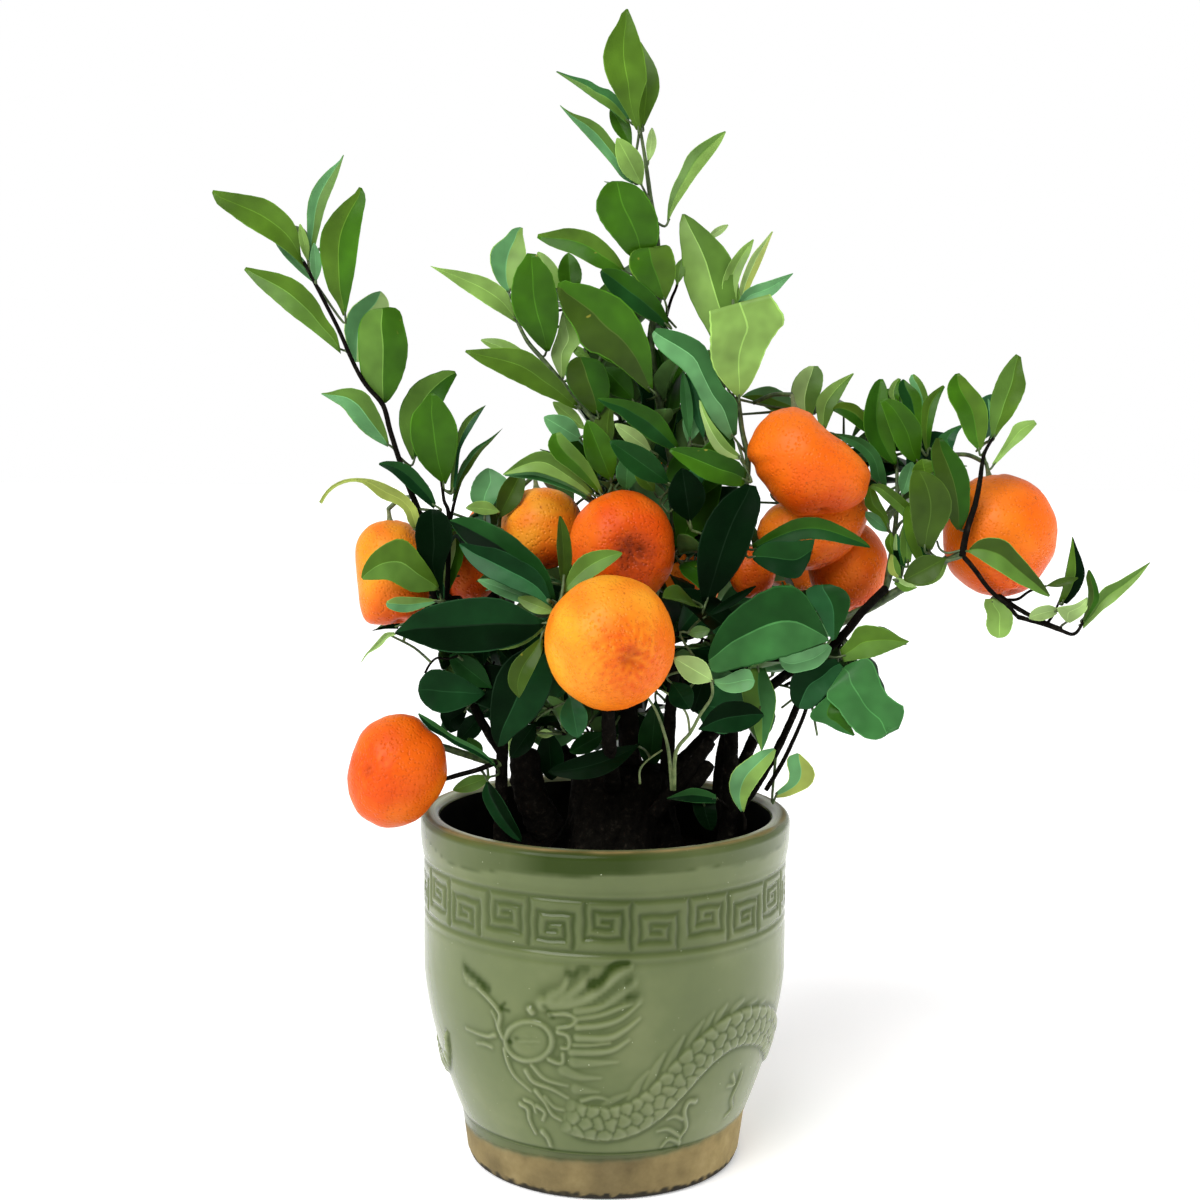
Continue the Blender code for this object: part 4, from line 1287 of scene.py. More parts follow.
    Blade(("pale", "fresh"),
          ((922, 420), (914, 392), (909, 381), (911, 375)),
          ((929, 410), (928, 396), (924, 385), (919, 378), (914, 374)), 16, 6),
    Blade(("bright", "bright"),
          ((916, 463), (905, 457), (896, 445), (890, 430), (885, 415), (880, 401)),
          ((920, 461), (921, 448), (922, 430), (918, 420), (908, 408), (898, 401), (886, 398)), -4, -8),
    Blade(("moss", "bright"),
          ((926, 452), (922, 436), (921, 418), (923, 403), (930, 394), (938, 388), (943, 385)),
          ((929, 451), (932, 430), (936, 412), (940, 398), (945, 387)), 4, 6),
    Blade(("olive", "olive"),
          ((918, 546), (913, 530), (910, 510), (909, 490), (911, 475), (915, 470)),
          ((932, 550), (940, 534), (949, 519), (952, 504), (948, 490), (938, 478), (924, 471)), -30, -6),
    Blade(("moss", "forest"),
          ((923, 568), (913, 555), (906, 540), (903, 525), (903, 512), (907, 505)),
          ((929, 566), (931, 550), (927, 535), (921, 520), (912, 508)), -14, 0),
    Blade(("olive", "mid"),
          ((957, 530), (950, 520), (944, 500), (936, 480), (932, 465), (931, 450), (936, 438)),
          ((962, 529), (969, 513), (970, 495), (969, 477), (962, 461), (952, 449), (942, 438)), -26, -4),
    Blade(("sage", "blue"),
          ((950, 452), (944, 444), (938, 438), (948, 430), (960, 425)),
          ((952, 451), (955, 442), (958, 433), (963, 426)), 6, 4),
    Blade(("fresh", "moss"),
          ((918, 524), (905, 518), (893, 507), (884, 499), (877, 492), (869, 487)),
          ((920, 518), (912, 506), (902, 497), (892, 489), (882, 484), (872, 484)), -6, -8),
    Blade(("moss", "moss"),
          ((888, 531), (880, 517), (870, 511), (865, 505), (865, 495), (868, 487)),
          ((890, 528), (887, 514), (881, 503), (876, 492), (871, 486)), -6, -4),
    # right bough
    Blade(("bright", "moss"),
          ((978, 450), (968, 440), (962, 428), (956, 412), (949, 400), (947, 388), (950, 380), (955, 374)),
          ((981, 450), (985, 440), (988, 425), (987, 408), (981, 396), (972, 386), (965, 378), (959, 373)),
          -28, -4),
    Blade(("fresh", "moss"),
          ((992, 438), (990, 425), (990, 410), (991, 398), (995, 385), (1001, 372), (1010, 360), (1016, 354)),
          ((996, 437), (1002, 428), (1011, 418), (1017, 408), (1022, 398), (1026, 385), (1023, 370),
           (1021, 357)), -26, 4),
    Blade(("light", "light"),
          ((992, 464), (998, 454), (1004, 444), (1010, 433), (1014, 425), (1023, 421), (1034, 420)),
          ((994, 466), (1003, 457), (1012, 448), (1022, 440), (1030, 432), (1037, 424)), -26, 6),
    Blade(("olive", "fresh"),
          ((970, 548), (976, 542), (985, 538), (998, 538), (1008, 542), (1017, 552), (1027, 563), (1035, 573),
           (1043, 583), (1050, 595)),
          ((968, 552), (978, 558), (990, 566), (1003, 574), (1017, 583), (1030, 589), (1040, 594),
           (1049, 597)), -38, -6),
    Blade(("moss", "deep"),
          ((1058, 602), (1062, 590), (1065, 575), (1068, 560), (1071, 545), (1072, 537)),
          ((1067, 604), (1076, 595), (1082, 585), (1085, 573), (1082, 560), (1078, 550), (1073, 537)), -10, -4),
    Blade(("fresh", "light"),
          ((1083, 622), (1092, 608), (1098, 595), (1105, 587), (1118, 581), (1128, 575), (1140, 568),
           (1150, 562)),
          ((1083, 629), (1094, 619), (1103, 610), (1113, 603), (1125, 592), (1138, 579), (1150, 563)), -10, 4),
    Blade(("olive", "mid"),
          ((1083, 620), (1087, 605), (1088, 590), (1086, 578), (1088, 570)),
          ((1085, 622), (1093, 610), (1099, 600), (1098, 588), (1094, 577), (1090, 570)), -12, -6),
    Blade(("silver", "silver"),
          ((1066, 622), (1060, 615), (1057, 608), (1064, 606), (1075, 604), (1087, 597)),
          ((1070, 623), (1080, 617), (1087, 609), (1088, 599)), -10, -6),
    Blade(("silver", "silver"),
          ((1057, 614), (1050, 618), (1040, 621), (1029, 619)),
          ((1057, 608), (1049, 605), (1038, 607), (1031, 612), (1029, 618)), -10, -6),
    Blade(("light", "light"),
          ((998, 598), (1005, 606), (1012, 613), (1013, 622), (1010, 632), (1005, 637), (1000, 638)),
          ((985, 599), (984, 606), (987, 615), (986, 625), (990, 634), (997, 638)), -14, -4),
    # right front
    Blade(("sage", "forest"),
          ((829, 641), (815, 646), (800, 652), (785, 657), (765, 662), (750, 666), (735, 669), (725, 672),
           (713, 673), (709, 665)),
          ((828, 637), (822, 623), (812, 605), (803, 592), (792, 586), (780, 585), (765, 590), (750, 599),
           (735, 610), (725, 620), (717, 632), (711, 645), (708, 656)), -62, -12),
    Blade(("blue", "forest"),
          ((832, 641), (825, 628), (817, 612), (808, 600), (806, 590), (815, 585)),
          ((836, 639), (843, 625), (849, 610), (850, 598), (843, 589), (830, 584)), -48, 4),
    Blade(("pale", "pale"),
          ((832, 648), (828, 657), (818, 667), (805, 671), (792, 673), (783, 668), (779, 660)),
          ((827, 643), (812, 648), (798, 653), (785, 656), (779, 658)), -56, -4),
    Blade(("moss", "fresh"),
          ((840, 650), (850, 638), (856, 628), (866, 625), (880, 627), (892, 632), (900, 637), (909, 641)),
          ((844, 662), (855, 660), (870, 658), (880, 655), (892, 650), (902, 646), (909, 642)), -44, -6),
    Blade(("blue", "dark"),
          ((844, 668), (836, 680), (828, 692), (820, 702), (810, 709), (800, 709)),
          ((836, 659), (825, 660), (812, 668), (795, 673), (790, 684), (791, 700), (798, 708)), -46, -4),
    Blade(("sage", "sage"),
          ((845, 666), (858, 660), (870, 659), (877, 672), (883, 688), (892, 699), (904, 707), (903, 718),
           (897, 731), (888, 728)),
          ((842, 670), (834, 682), (826, 697), (838, 709), (845, 720), (855, 731), (865, 738), (877, 740),
           (886, 736)), -50, -12),
    Blade(("mid", "sage"),
          ((838, 702), (845, 714), (850, 724), (855, 735)),
          ((826, 697), (811, 712), (812, 720), (825, 724), (838, 731), (853, 736)), -52, -6),
    Blade(("pale", "pale"),
          ((713, 680), (722, 678), (732, 673), (742, 669), (750, 670), (754, 679)),
          ((714, 683), (722, 690), (732, 693), (743, 692), (752, 688), (755, 681)), -64, -8),
    Blade(("sage", "fresh"),
          ((765, 668), (771, 682), (776, 696), (775, 712), (771, 727), (767, 740), (762, 751)),
          ((752, 668), (742, 690), (745, 705), (752, 720), (756, 735), (761, 751)), -48, -4),
    Blade(("dark", "deep"),
          ((764, 716), (756, 724), (743, 731), (730, 733), (715, 732), (699, 730)),
          ((763, 713), (755, 706), (745, 702), (733, 701), (722, 703), (711, 711), (704, 721), (698, 729)),
          -56, -6),
    # low on the left
    Blade(("sage", "dark"),
          ((494, 762), (480, 749), (465, 741), (450, 733), (435, 722), (419, 713)),
          ((497, 768), (485, 760), (470, 752), (455, 745), (443, 737), (430, 730), (421, 720), (418, 714)),
          -44, -4),
    Blade(("deep", "deep"),
          ((466, 706), (455, 709), (446, 711), (440, 714), (443, 724), (449, 732)),
          ((467, 712), (463, 722), (458, 730), (451, 733)), -40, -4),
    Blade(("silver", "silver"),
          ((396, 635), (388, 638), (382, 645), (375, 650), (368, 654), (362, 662)),
          ((394, 632), (385, 633), (378, 640), (371, 648), (365, 655), (361, 662)), -66, -4),
    Blade(("deep", "deep"),
          ((398, 629), (386, 629), (372, 631)),
          ((400, 623), (386, 625), (373, 630)), -64, -4),
    Blade(("silver", "silver"),
          ((530, 731), (519, 732), (509, 740), (509, 757)),
          ((534, 731), (530, 744), (519, 748), (510, 757)), -50, -4),
    Blade(("silver", "silver"),
          ((554, 733), (545, 729), (537, 733)),
          ((554, 735), (546, 738), (538, 736)), -46, -2),
    # in the pot
    Blade(("dark", "deep"),
          ((486, 782), (482, 795), (489, 812), (499, 826), (511, 837), (521, 842)),
          ((489, 782), (497, 791), (505, 803), (513, 818), (520, 832), (522, 841)), -46, -12),
    Blade(("sage", "dark"),
          ((716, 795), (705, 790), (692, 788), (680, 792), (667, 798)),
          ((716, 803), (700, 803), (688, 802), (676, 800), (667, 799)), -24, -4),
    Blade(("deep", "deep"),
          ((692, 802), (695, 815), (703, 827), (711, 831)),
          ((715, 803), (717, 815), (716, 825), (712, 831)), -23, -2),
    Blade(("pale", "light"),
          ((741, 812), (733, 800), (729, 786), (733, 771), (746, 760), (760, 751), (773, 748)),
          ((744, 812), (748, 798), (756, 785), (765, 772), (773, 760), (776, 750)), -40, -6),
    Blade(("lime", "pale"),
          ((776, 798), (786, 797), (797, 793), (810, 786), (815, 775), (811, 765), (800, 754)),
          ((775, 793), (782, 787), (788, 781), (789, 773), (787, 765), (788, 757), (797, 753)), -26, -4),
    # around the fork on the right
    Blade(("moss", "moss"),
          ((892, 557), (886, 548), (885, 540), (890, 532)),
          ((896, 556), (896, 545), (892, 533)), -6, 0),
    Blade(("silver", "blue"),
          ((896, 563), (893, 548), (895, 534)),
          ((900, 562), (901, 546), (898, 534)), -8, 0),
    Blade(("fresh", "fresh"),
          ((904, 564), (900, 548), (902, 530), (909, 514)),
          ((911, 562), (913, 546), (914, 530), (912, 514)), -10, 0),
    Blade(("deep", "forest"),
          ((899, 574), (894, 562), (893, 550)),
          ((903, 573), (906, 562), (904, 551)), -9, 0),
    Blade(("lime", "fresh"),
          ((899, 579), (889, 573), (888, 563), (891, 554)),
          ((901, 577), (900, 566), (895, 556)), -12, 0),
    Blade(("fresh", "silver"),
          ((894, 584), (905, 592), (917, 588)),
          ((896, 577), (906, 580), (917, 587)), -12, 0),
)



def turned_facing(axis, degrees):
    """Away from the camera's view but turned about the leaf's length by that angle."""
    toward = -FORWARD
    toward = (toward - axis * toward.dot(axis)).normalized()
    aside = axis.cross(toward)
    turn = math.radians(degrees)
    return toward * math.cos(turn) + aside * math.sin(turn)


def fruit_distances(ball, shape):
    """How far points are from a fruit's middle, where 1 is its skin, and their offsets so measured."""
    offsets = (shape - np.array(ball.centre)) @ np.array(ball.shrink).T
    return np.linalg.norm(offsets, axis=1), offsets


def clear_of_fruit(shape):
    """Leaves lie on the fruit that they would run into."""
    for ball in BALLS:
        distance, offsets = fruit_distances(ball, shape)
        inside = distance < FRUIT_CLEARANCE
        if inside.any() and distance.min() > 0.55:
            outward = offsets[inside] / distance[inside, None] * FRUIT_CLEARANCE
            shape[inside] = np.array(ball.centre) + outward @ np.array(ball.stretch).T
    return shape


def posed_leaf(leaf, number):
    depth = leaf.depth / 1000
    foot = at(*leaf.foot, depth)
    tip = at(*leaf.tip, depth + leaf.deeper / 1000)
    axis = (tip - foot).normalized()
    facing = turned_facing(axis, leaf.turn)
    width = leaf.width * metres_per_pixel(depth) / max(0.35, abs(math.cos(math.radians(leaf.turn))))
    shape = leaf_shape(foot, tip, facing, width, FINE_STEPS, FINE_STRIPS, sweep=leaf.sweep,
                       blunt=leaf.blunt, seed=number)
    return (leaf.shade, leaf.shade), foot, axis, clear_of_fruit(shape)


def even_points(points, count):
    """Evenly spaced places along a smooth line through pixels."""
    path = np.array(smooth_path([(across, down, 0) for across, down in points], 4))
    lengths = np.concatenate([[0], np.cumsum(np.linalg.norm(np.diff(path, axis=0), axis=1))])
    spots = np.linspace(0, lengths[-1], count)
    return np.stack([np.interp(spots, lengths, path[:, axis]) for axis in (0, 1)], axis=1)


def sides_in_order(blade, count):
    """A blade's left and right edges and their shades, as seen from its foot."""
    first, second = even_points(blade.first, count), even_points(blade.second, count)
    around = np.concatenate([first, second[::-1]])
    onward = np.roll(around, -1, axis=0)
    if np.sum(around[:, 0] * onward[:, 1] - around[:, 1] * onward[:, 0]) > 0:
        return first, second, blade.shades
    return second, first, blade.shades[::-1]


def clear_along_sight(shape):
    """Move what would be inside a fruit along the line of sight until it is out of it."""
    for ball in BALLS:
        for _ in range(MOST_SHIFTS):
            distance, _ = fruit_distances(ball, shape)
            inside = distance < FRUIT_CLEARANCE
            if not inside.any():
                break
            away = shape[inside] - np.array(EYE)
            away /= np.linalg.norm(away, axis=1)[:, None]
            beyond = (shape[inside] - np.array(ball.centre)) @ np.array(FORWARD) > 0
            shape[inside] += away * np.where(beyond, SHIFT, -SHIFT)[:, None]
    return shape


def posed_blade(blade, seed):
    """A leaf between its two edges: the shades of its halves, its foot, its direction and its vertices."""
    count = FINE_STEPS + 1
    left, right, shades = sides_in_order(blade, count)
    chance = np.random.default_rng(seed)
    strip = np.array(FINE_STRIPS)[None, :]
    share = np.linspace(0, 1, count)[:, None]
    half = np.linalg.norm(left - right, axis=1)[:, None] / 2
    teeth = 1 + 0.012 * np.sin(2 * math.pi * (9.5 * share + chance.random())) * (np.abs(strip) > 0.9)
    mix = (0.5 + 0.5 * strip * teeth)[..., None]
    pixels = left[:, None] * mix + right[:, None] * (1 - mix)
    length = np.linalg.norm((left[0] + right[0] - left[-1] - right[-1]) / 2) * metres_per_pixel(0)
    lift = BLADE_ARCH * length * 4 * share * (1 - share)
    lift = lift + blade.fold / 1000 * np.abs(strip) * half / half.max()
    waves = 0.05 * half * metres_per_pixel(0) * np.sin(2 * math.pi * (2.2 * share + chance.random())) * strip**2
    depths = (blade.depth + blade.deeper * share) / 1000 - lift - waves - vein_relief(share, strip)
    middle = np.array([[at(*pixels[row, column], depths[row, column]) for column in range(strip.size)]
                       for row in range(count)])
    shape = clear_along_sight(two_sides(middle, share, strip, -np.array(FORWARD)))
    foot = Vector(middle[0].mean(axis=0))
    axis = (Vector(middle[-1].mean(axis=0)) - foot).normalized()
    return shades, foot, axis, shape


# Masses of foliage, by name, as their solids in the frame
MASS_NAMES = sorted(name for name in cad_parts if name.startswith("foliage_"))


MASS_BOXES = {name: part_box(name) for name in MASS_NAMES}


def node_tree(name):
    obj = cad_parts[name]
    corners = [obj.matrix_world @ vertex.co for vertex in obj.data.vertices]
    return BVHTree.FromPolygons(corners, [polygon.vertices[:] for polygon in obj.data.polygons])


MASS_TREES = {name: node_tree(name) for name in MASS_NAMES}
LIMB_TREES = [node_tree(limb.name) for limb in LIMBS + GREEN_LIMBS] + [node_tree("trunk")]


def mass_middle(name):
    low, high = MASS_BOXES[name]
    return (Vector(low) + Vector(high)) / 2


def nearest_mass(place):
    return min(MASS_NAMES, key=lambda name: (mass_middle(name) - place).length)


def inside_masses(place, slack):
    """Whether a place is inside some mass, or less than slack outside it."""
    for name in MASS_NAMES:
        low, high = MASS_BOXES[name]
        if any(place[axis] < low[axis] - slack or place[axis] > high[axis] + slack for axis in range(3)):
            continue
        nearest, normal, _, distance = MASS_TREES[name].find_nearest(place)
        if distance < slack or (place - nearest).dot(normal) < 0:
            return True
    return False


LEAF_PIECES = {name: Piece(name.replace("foliage", "leaves")) for name in MASS_NAMES}
TWIG_PIECES = {name: Piece(name.replace("foliage", "twigs")) for name in MASS_NAMES}

# Cells of the photograph: the depth of the nearest thing read off it in each, whether it shows any
# of the plant there, whether it shows it full of leaves, and whether something stands there now
CELL = 4
CELLS = PHOTO_SIZE // CELL + 1
FAR = 9.0
NEAREST_SHOWN = np.full((CELLS, CELLS), FAR)
SHOWN = np.zeros((CELLS, CELLS), dtype=bool)
DENSE = np.zeros((CELLS, CELLS), dtype=bool)
COVERED = np.zeros((CELLS, CELLS), dtype=bool)

# Where the photograph shows leaves and shade behind the leaves listed above, as outlines in pixels
DENSE_PARTS = (
    ((548, 385), (600, 350), (640, 385), (652, 330), (672, 330), (735, 440), (745, 500), (700, 520),
     (640, 500), (605, 492), (560, 440), (580, 425)),
    ((440, 600), (450, 530), (478, 520), (480, 476), (500, 470), (560, 560), (640, 590), (670, 480),
     (700, 500), (750, 500), (800, 590), (885, 590), (850, 640), (800, 665), (770, 672), (720, 665),
     (690, 700), (640, 715), (600, 712), (545, 690), (420, 645)),
    ((418, 665), (470, 640), (545, 640), (600, 712), (690, 700), (672, 735), (560, 735), (515, 745),
     (480, 720), (470, 700), (440, 712), (420, 695)),
    ((508, 700), (600, 712), (680, 712), (665, 745), (668, 790), (690, 830), (520, 835), (508, 800)),
    ((868, 400), (900, 385), (935, 400), (940, 540), (915, 575), (890, 560), (880, 500)),
    ((700, 700), (720, 690), (770, 670), (775, 720), (762, 745), (735, 730), (705, 725)),
)


def cells_of(spots):
    """Rows and columns of the cells that points fall in."""
    offset = spots - np.array(EYE)
    away = offset @ np.array(FORWARD)
    across = PHOTO_SIZE / 2 + FOCAL_PIXELS * (offset @ np.array(RIGHT)) / away
    down = PHOTO_SIZE / 2 - FOCAL_PIXELS * (offset @ np.array(UP)) / away
    rows = np.clip((down / CELL).astype(int), 0, CELLS - 1)
    columns = np.clip((across / CELL).astype(int), 0, CELLS - 1)
    return rows, columns


def mark_shown(spots):
    rows, columns = cells_of(spots)
    np.minimum.at(NEAREST_SHOWN, (rows, columns), spots[:, 1])
    SHOWN[rows, columns] = True
    COVERED[rows, columns] = True


def hides_photo(spots):
    """Whether points stand before something that the photograph shows."""
    rows, columns = cells_of(spots)
    nearest = NEAREST_SHOWN[rows, columns]
    return bool(((spots[:, 1] < nearest + 0.001) & (nearest < FAR)).any())


def share_in_sky(spots):
    rows, columns = cells_of(spots)
    return 1 - SHOWN[rows, columns].mean()


def mark_dense_parts():
    """Marks the cells within the outlines, by counting the edges to the left of each."""
    middles = (np.arange(CELLS) + 0.5) * CELL
    across, down = np.meshgrid(middles, middles)
    for outline in DENSE_PARTS:
        inside = np.zeros(across.shape, dtype=bool)
        for (start_x, start_y), (end_x, end_y) in zip(outline, outline[1:] + outline[:1]):
            crosses = (start_y > down) != (end_y > down)
            slope = (end_x - start_x) / ((end_y - start_y) or 1e-9)
            inside ^= crosses & (across > start_x + (down - start_y) * slope)
        SHOWN[inside] = True
        DENSE[inside] = True


def filled(grid):
    """The points of a grid, with three more between each two neighbours."""
    for _ in range(4):
        finer = np.empty((grid.shape[0] * 2 - 1, *grid.shape[1:]))
        finer[::2] = grid
        finer[1::2] = (grid[:-1] + grid[1:]) / 2
        grid = finer.transpose(1, 0, 2)
    return grid.reshape(-1, 3)


def upper_side(shape, strips):
    return shape[: len(shape) // 2].reshape(-1, len(strips), 3)


class Room:
    """The places that leaves have taken, to keep new ones clear of them."""

    def __init__(self):
        self.middles = []
        self.trees = []
        self.spots = []

    def take(self, shape, strips):
        grid = upper_side(shape, strips)[::2, ::2]
        self.middles.append(grid.reshape(-1, 3).mean(axis=0))
        self.trees.append(grid_tree(grid))
        self.spots.append(grid[1:-1:2].reshape(-1, 3))

    def near(self, middle):
        away = np.linalg.norm(np.array(self.middles) - middle, axis=1)
        return np.nonzero(away < NEAR_LEAF)[0]

    def clearance(self, shape, strips):
        """The distance to the nearest leaf, or nothing where the new leaf would cross one."""
        grid = upper_side(shape, strips)[::2, ::2]
        near = self.near(grid.reshape(-1, 3).mean(axis=0))
        tree = grid_tree(grid)
        if any(tree.overlap(self.trees[index]) for index in near):
            return 0
        if any(tree.overlap(solid) for solid in LIMB_TREES):
            return 0
        if not len(near):
            return 1
        taken = np.concatenate([self.spots[index] for index in near])
        spots = grid[1:-1:2].reshape(-1, 3)
        return np.linalg.norm(spots[:, None] - taken[None], axis=2).min()

    def pierced(self, path):
        """Whether a path runs through a leaf."""
        for start, end in zip(path, path[1:]):
            step = end - start
            for index in self.near(np.array(start)):
                if self.trees[index].ray_cast(start, step, step.length)[0] is not None:
                    return True
        return False


NEAR_LEAF = 0.055


def grid_tree(grid):
    rows, columns = grid.shape[:2]
    return BVHTree.FromPolygons([Vector(spot) for spot in grid.reshape(-1, 3)], grid_faces(rows, columns))


ROOM = Room()


# Growth

TWIG_NODES = []


def add_twig_nodes(path):
    for index in range(1, len(path)):
        TWIG_NODES.append((path[index], (path[index] - path[index - 1]).normalized()))


def nearest_nodes(place, count):
    return sorted(TWIG_NODES, key=lambda entry: (entry[0] - place).length_squared)[:count]


def add_petiole(foot, axis):
    """A short stalk from a shoot near a leaf's foot, behind what the photograph shows."""
    nodes = nearest_nodes(foot, 10)
    gap = (nodes[0][0] - foot).length
    if gap < 0.0008:
        return
    chosen = None
    for node, _ in nodes:
        pull = min((node - foot).length * 0.4, 0.004)
        path = smooth_path([node, foot - axis * pull, foot + axis * 0.002], 4)
        if not hides_photo(np.array(path[:5])):
            chosen = path
            break
    if chosen is None:
        node = nodes[0][0]
        behind = foot.lerp(node, 0.5) + FORWARD * 0.006
        chosen = smooth_path([node, behind, foot + axis * 0.002], 4)
    last = len(chosen) - 1
    radii = [0.00080 - 0.00022 * index / last for index in range(last + 1)]
    add_tube(TWIG_PIECES[nearest_mass(foot)], chosen, radii, 6, GREEN_BARK)
    add_twig_nodes(chosen)


# Limbs that the photograph shows in front of the leaves near them
SHOWN_LIMBS = ("stem_left", "stem_right", "stub_left", "stub_right", "stub_short", "bough_left",
               "stem_right_leaning", "stem_right_slim", "bough_right")
BARK_OF = {"brown": BARK, "green": GREEN_BARK, "young": YOUNG_BARK}


def place_posed():
    """The shoots and leaves read off the photograph."""
    for path, radii, bark in SHOOT_PATHS.values():
        add_tube(TWIG_PIECES[nearest_mass(path[len(path) // 2])], path, radii, 10, BARK_OF[bark], 0.10)
        add_twig_nodes(path)
        mark_shown(np.array(path))
    for limb in LIMBS + GREEN_LIMBS:
        add_twig_nodes([limb_point(limb, 0.55 + 0.45 * step / 8) for step in range(9)])
        if limb.name in SHOWN_LIMBS:
            mark_shown(np.array([limb_point(limb, step / LIMB_STEPS) for step in range(LIMB_STEPS)]))
    posed = [posed_leaf(leaf, number) for number, leaf in enumerate(LEAVES)]
    posed += [posed_blade(blade, number) for number, blade in enumerate(BLADES)]
    for shades, foot, axis, shape in posed:
        add_leaf(LEAF_PIECES[nearest_mass(Vector(shape.mean(axis=0)))], shape, shades, FINE_LEAF)
        mark_shown(filled(upper_side(shape, FINE_STRIPS)))
        ROOM.take(shape, FINE_STRIPS)
    for _, foot, axis, _ in posed:
        add_petiole(foot, axis)


def mark_fruit():
    for ball in BALLS[: len(FRUITS)]:
        spots = []
        for ring in range(16):
            share = ring / 15
            for side in range(60):
                angle = math.pi * side / 30
                flat = RIGHT * (math.cos(angle) * share) + UP * (math.sin(angle) * share)
                offset = ball.stretch @ (flat - FORWARD * (1 - share**2) ** 0.5)
                spots.append(ball.centre + outlined(ball, offset))
        mark_shown(np.array(spots))


CROWN_MIDDLE = Vector((0.02, 0.02, 0.30))
SPRAY_SPACING = 0.014
LEAVES_PER_SPRAY = 7
LEAF_SPACING = 0.14
LEAST_ROOM = 0.0012
SKY_SHARE = 0.02
# Grown leaves take lighter shades high in the crown and darker ones low in it: painted light above and painted
# shade below
HIGH_SHADES = ("mid", "bright", "mid", "olive", "bright")
MIDDLE_SHADES = ("dark", "mid", "dark", "blue", "olive", "mid")
LOW_SHADES = ("deep", "dark", "dark", "blue")
HIGH_START, LOW_START = 0.395, 0.300

# The dark leaves between the trunk and the crown, a part of the core; their dark shades are painted shade
THICKET_MIDDLE = Vector((0.010, 0.040, 0.238))
THICKET_HALF = Vector((0.078, 0.044, 0.034))


def in_thicket(place):
    return sum(((place[axis] - THICKET_MIDDLE[axis]) / THICKET_HALF[axis]) ** 2 for axis in range(3)) < 1


def spray_points(name, count, chance):
    """Places spread through a mass, away from each other."""
    low, high = MASS_BOXES[name]
    tree = MASS_TREES[name]
    chosen = []
    for _ in range(count * 30):
        if len(chosen) == count:
            break
        place = Vector([chance.uniform(low[axis], high[axis]) for axis in range(3)])
        nearest, normal, _, distance = tree.find_nearest(place)
        if (place - nearest).dot(normal) > 0:
            continue
        if any((place - other).length < SPRAY_SPACING for other in chosen):
            continue
        chosen.append(place)
    return chosen


def thicket_points(count, chance):
    chosen = []
    while len(chosen) < count:
        place = THICKET_MIDDLE + Vector([chance.uniform(-1, 1) * THICKET_HALF[axis] for axis in range(3)])
        if in_thicket(place):
            chosen.append(place)
    return chosen


def shade_at(place, chance):
    if place.z > HIGH_START:
        return chance.choice(HIGH_SHADES)
    return chance.choice(MIDDLE_SHADES if place.z > LOW_START else LOW_SHADES)


def touches_pot(spots):
    return spots[:, 2].min() < 0.196 and np.hypot(spots[:, 0], spots[:, 1]).max() > 0.080


def grown_leaf(foot, along, outward, chance, seed):
    """The roomiest of several tries at a leaf that keeps clear of all that is there."""
    best, best_room = None, LEAST_ROOM
    for _ in range(10):
        direction = Vector([chance.gauss(0, 1) for _ in range(3)]).normalized()
        axis = (along * 0.5 + outward * 0.9 + direction * 0.9 + Vector((0, 0, 0.25))).normalized()
        length = chance.uniform(0.036, 0.056)
        tip = foot + axis * length
        middle = foot.lerp(tip, 0.6)
        if not all(inside_masses(place, 0.006) or in_thicket(place) for place in (tip, middle)):
            continue
        facing = Vector((0, 0, 1)) + outward * 0.8 + Vector([chance.gauss(0, 0.35) for _ in range(3)])
        if abs(facing.normalized().dot(axis)) > 0.93:
            continue
        width = length * chance.uniform(0.42, 0.54)
        shape = leaf_shape(foot + axis * 0.005, tip, facing, width, GROWN_STEPS, GROWN_STRIPS,
                           arch=chance.uniform(0.02, 0.09), fold=chance.uniform(0.20, 0.45),
                           sweep=chance.uniform(-0.06, 0.06), curl=chance.uniform(0, 0.12), seed=seed)
        spots = upper_side(shape, GROWN_STRIPS).reshape(-1, 3)
        if touches_pot(spots) or hides_photo(spots) or share_in_sky(spots) > SKY_SHARE:
            continue
        if any(fruit_distances(ball, spots)[0].min() < FRUIT_CLEARANCE for ball in BALLS):
            continue
        room = ROOM.clearance(shape, GROWN_STRIPS)
        if room > best_room:
            best, best_room = (shape, axis), room
    return best


def twig_path(target):
    """A path to the target from the nearest shoot that keeps behind what the photograph shows."""
    for node, heading in nearest_nodes(target, 12):
        gap = (target - node).length
        end = target
        if gap < 0.008:
            end = target + (target - CROWN_MIDDLE).normalized() * 0.02
            gap = (end - node).length
        path = smooth_path([node, node + heading * gap * 0.25 + (end - node) * 0.25, end], 5)
        spots = np.array(path[1:])
        if not hides_photo(spots) and share_in_sky(spots) < 0.3 and not ROOM.pierced(path):
            return path
    return None


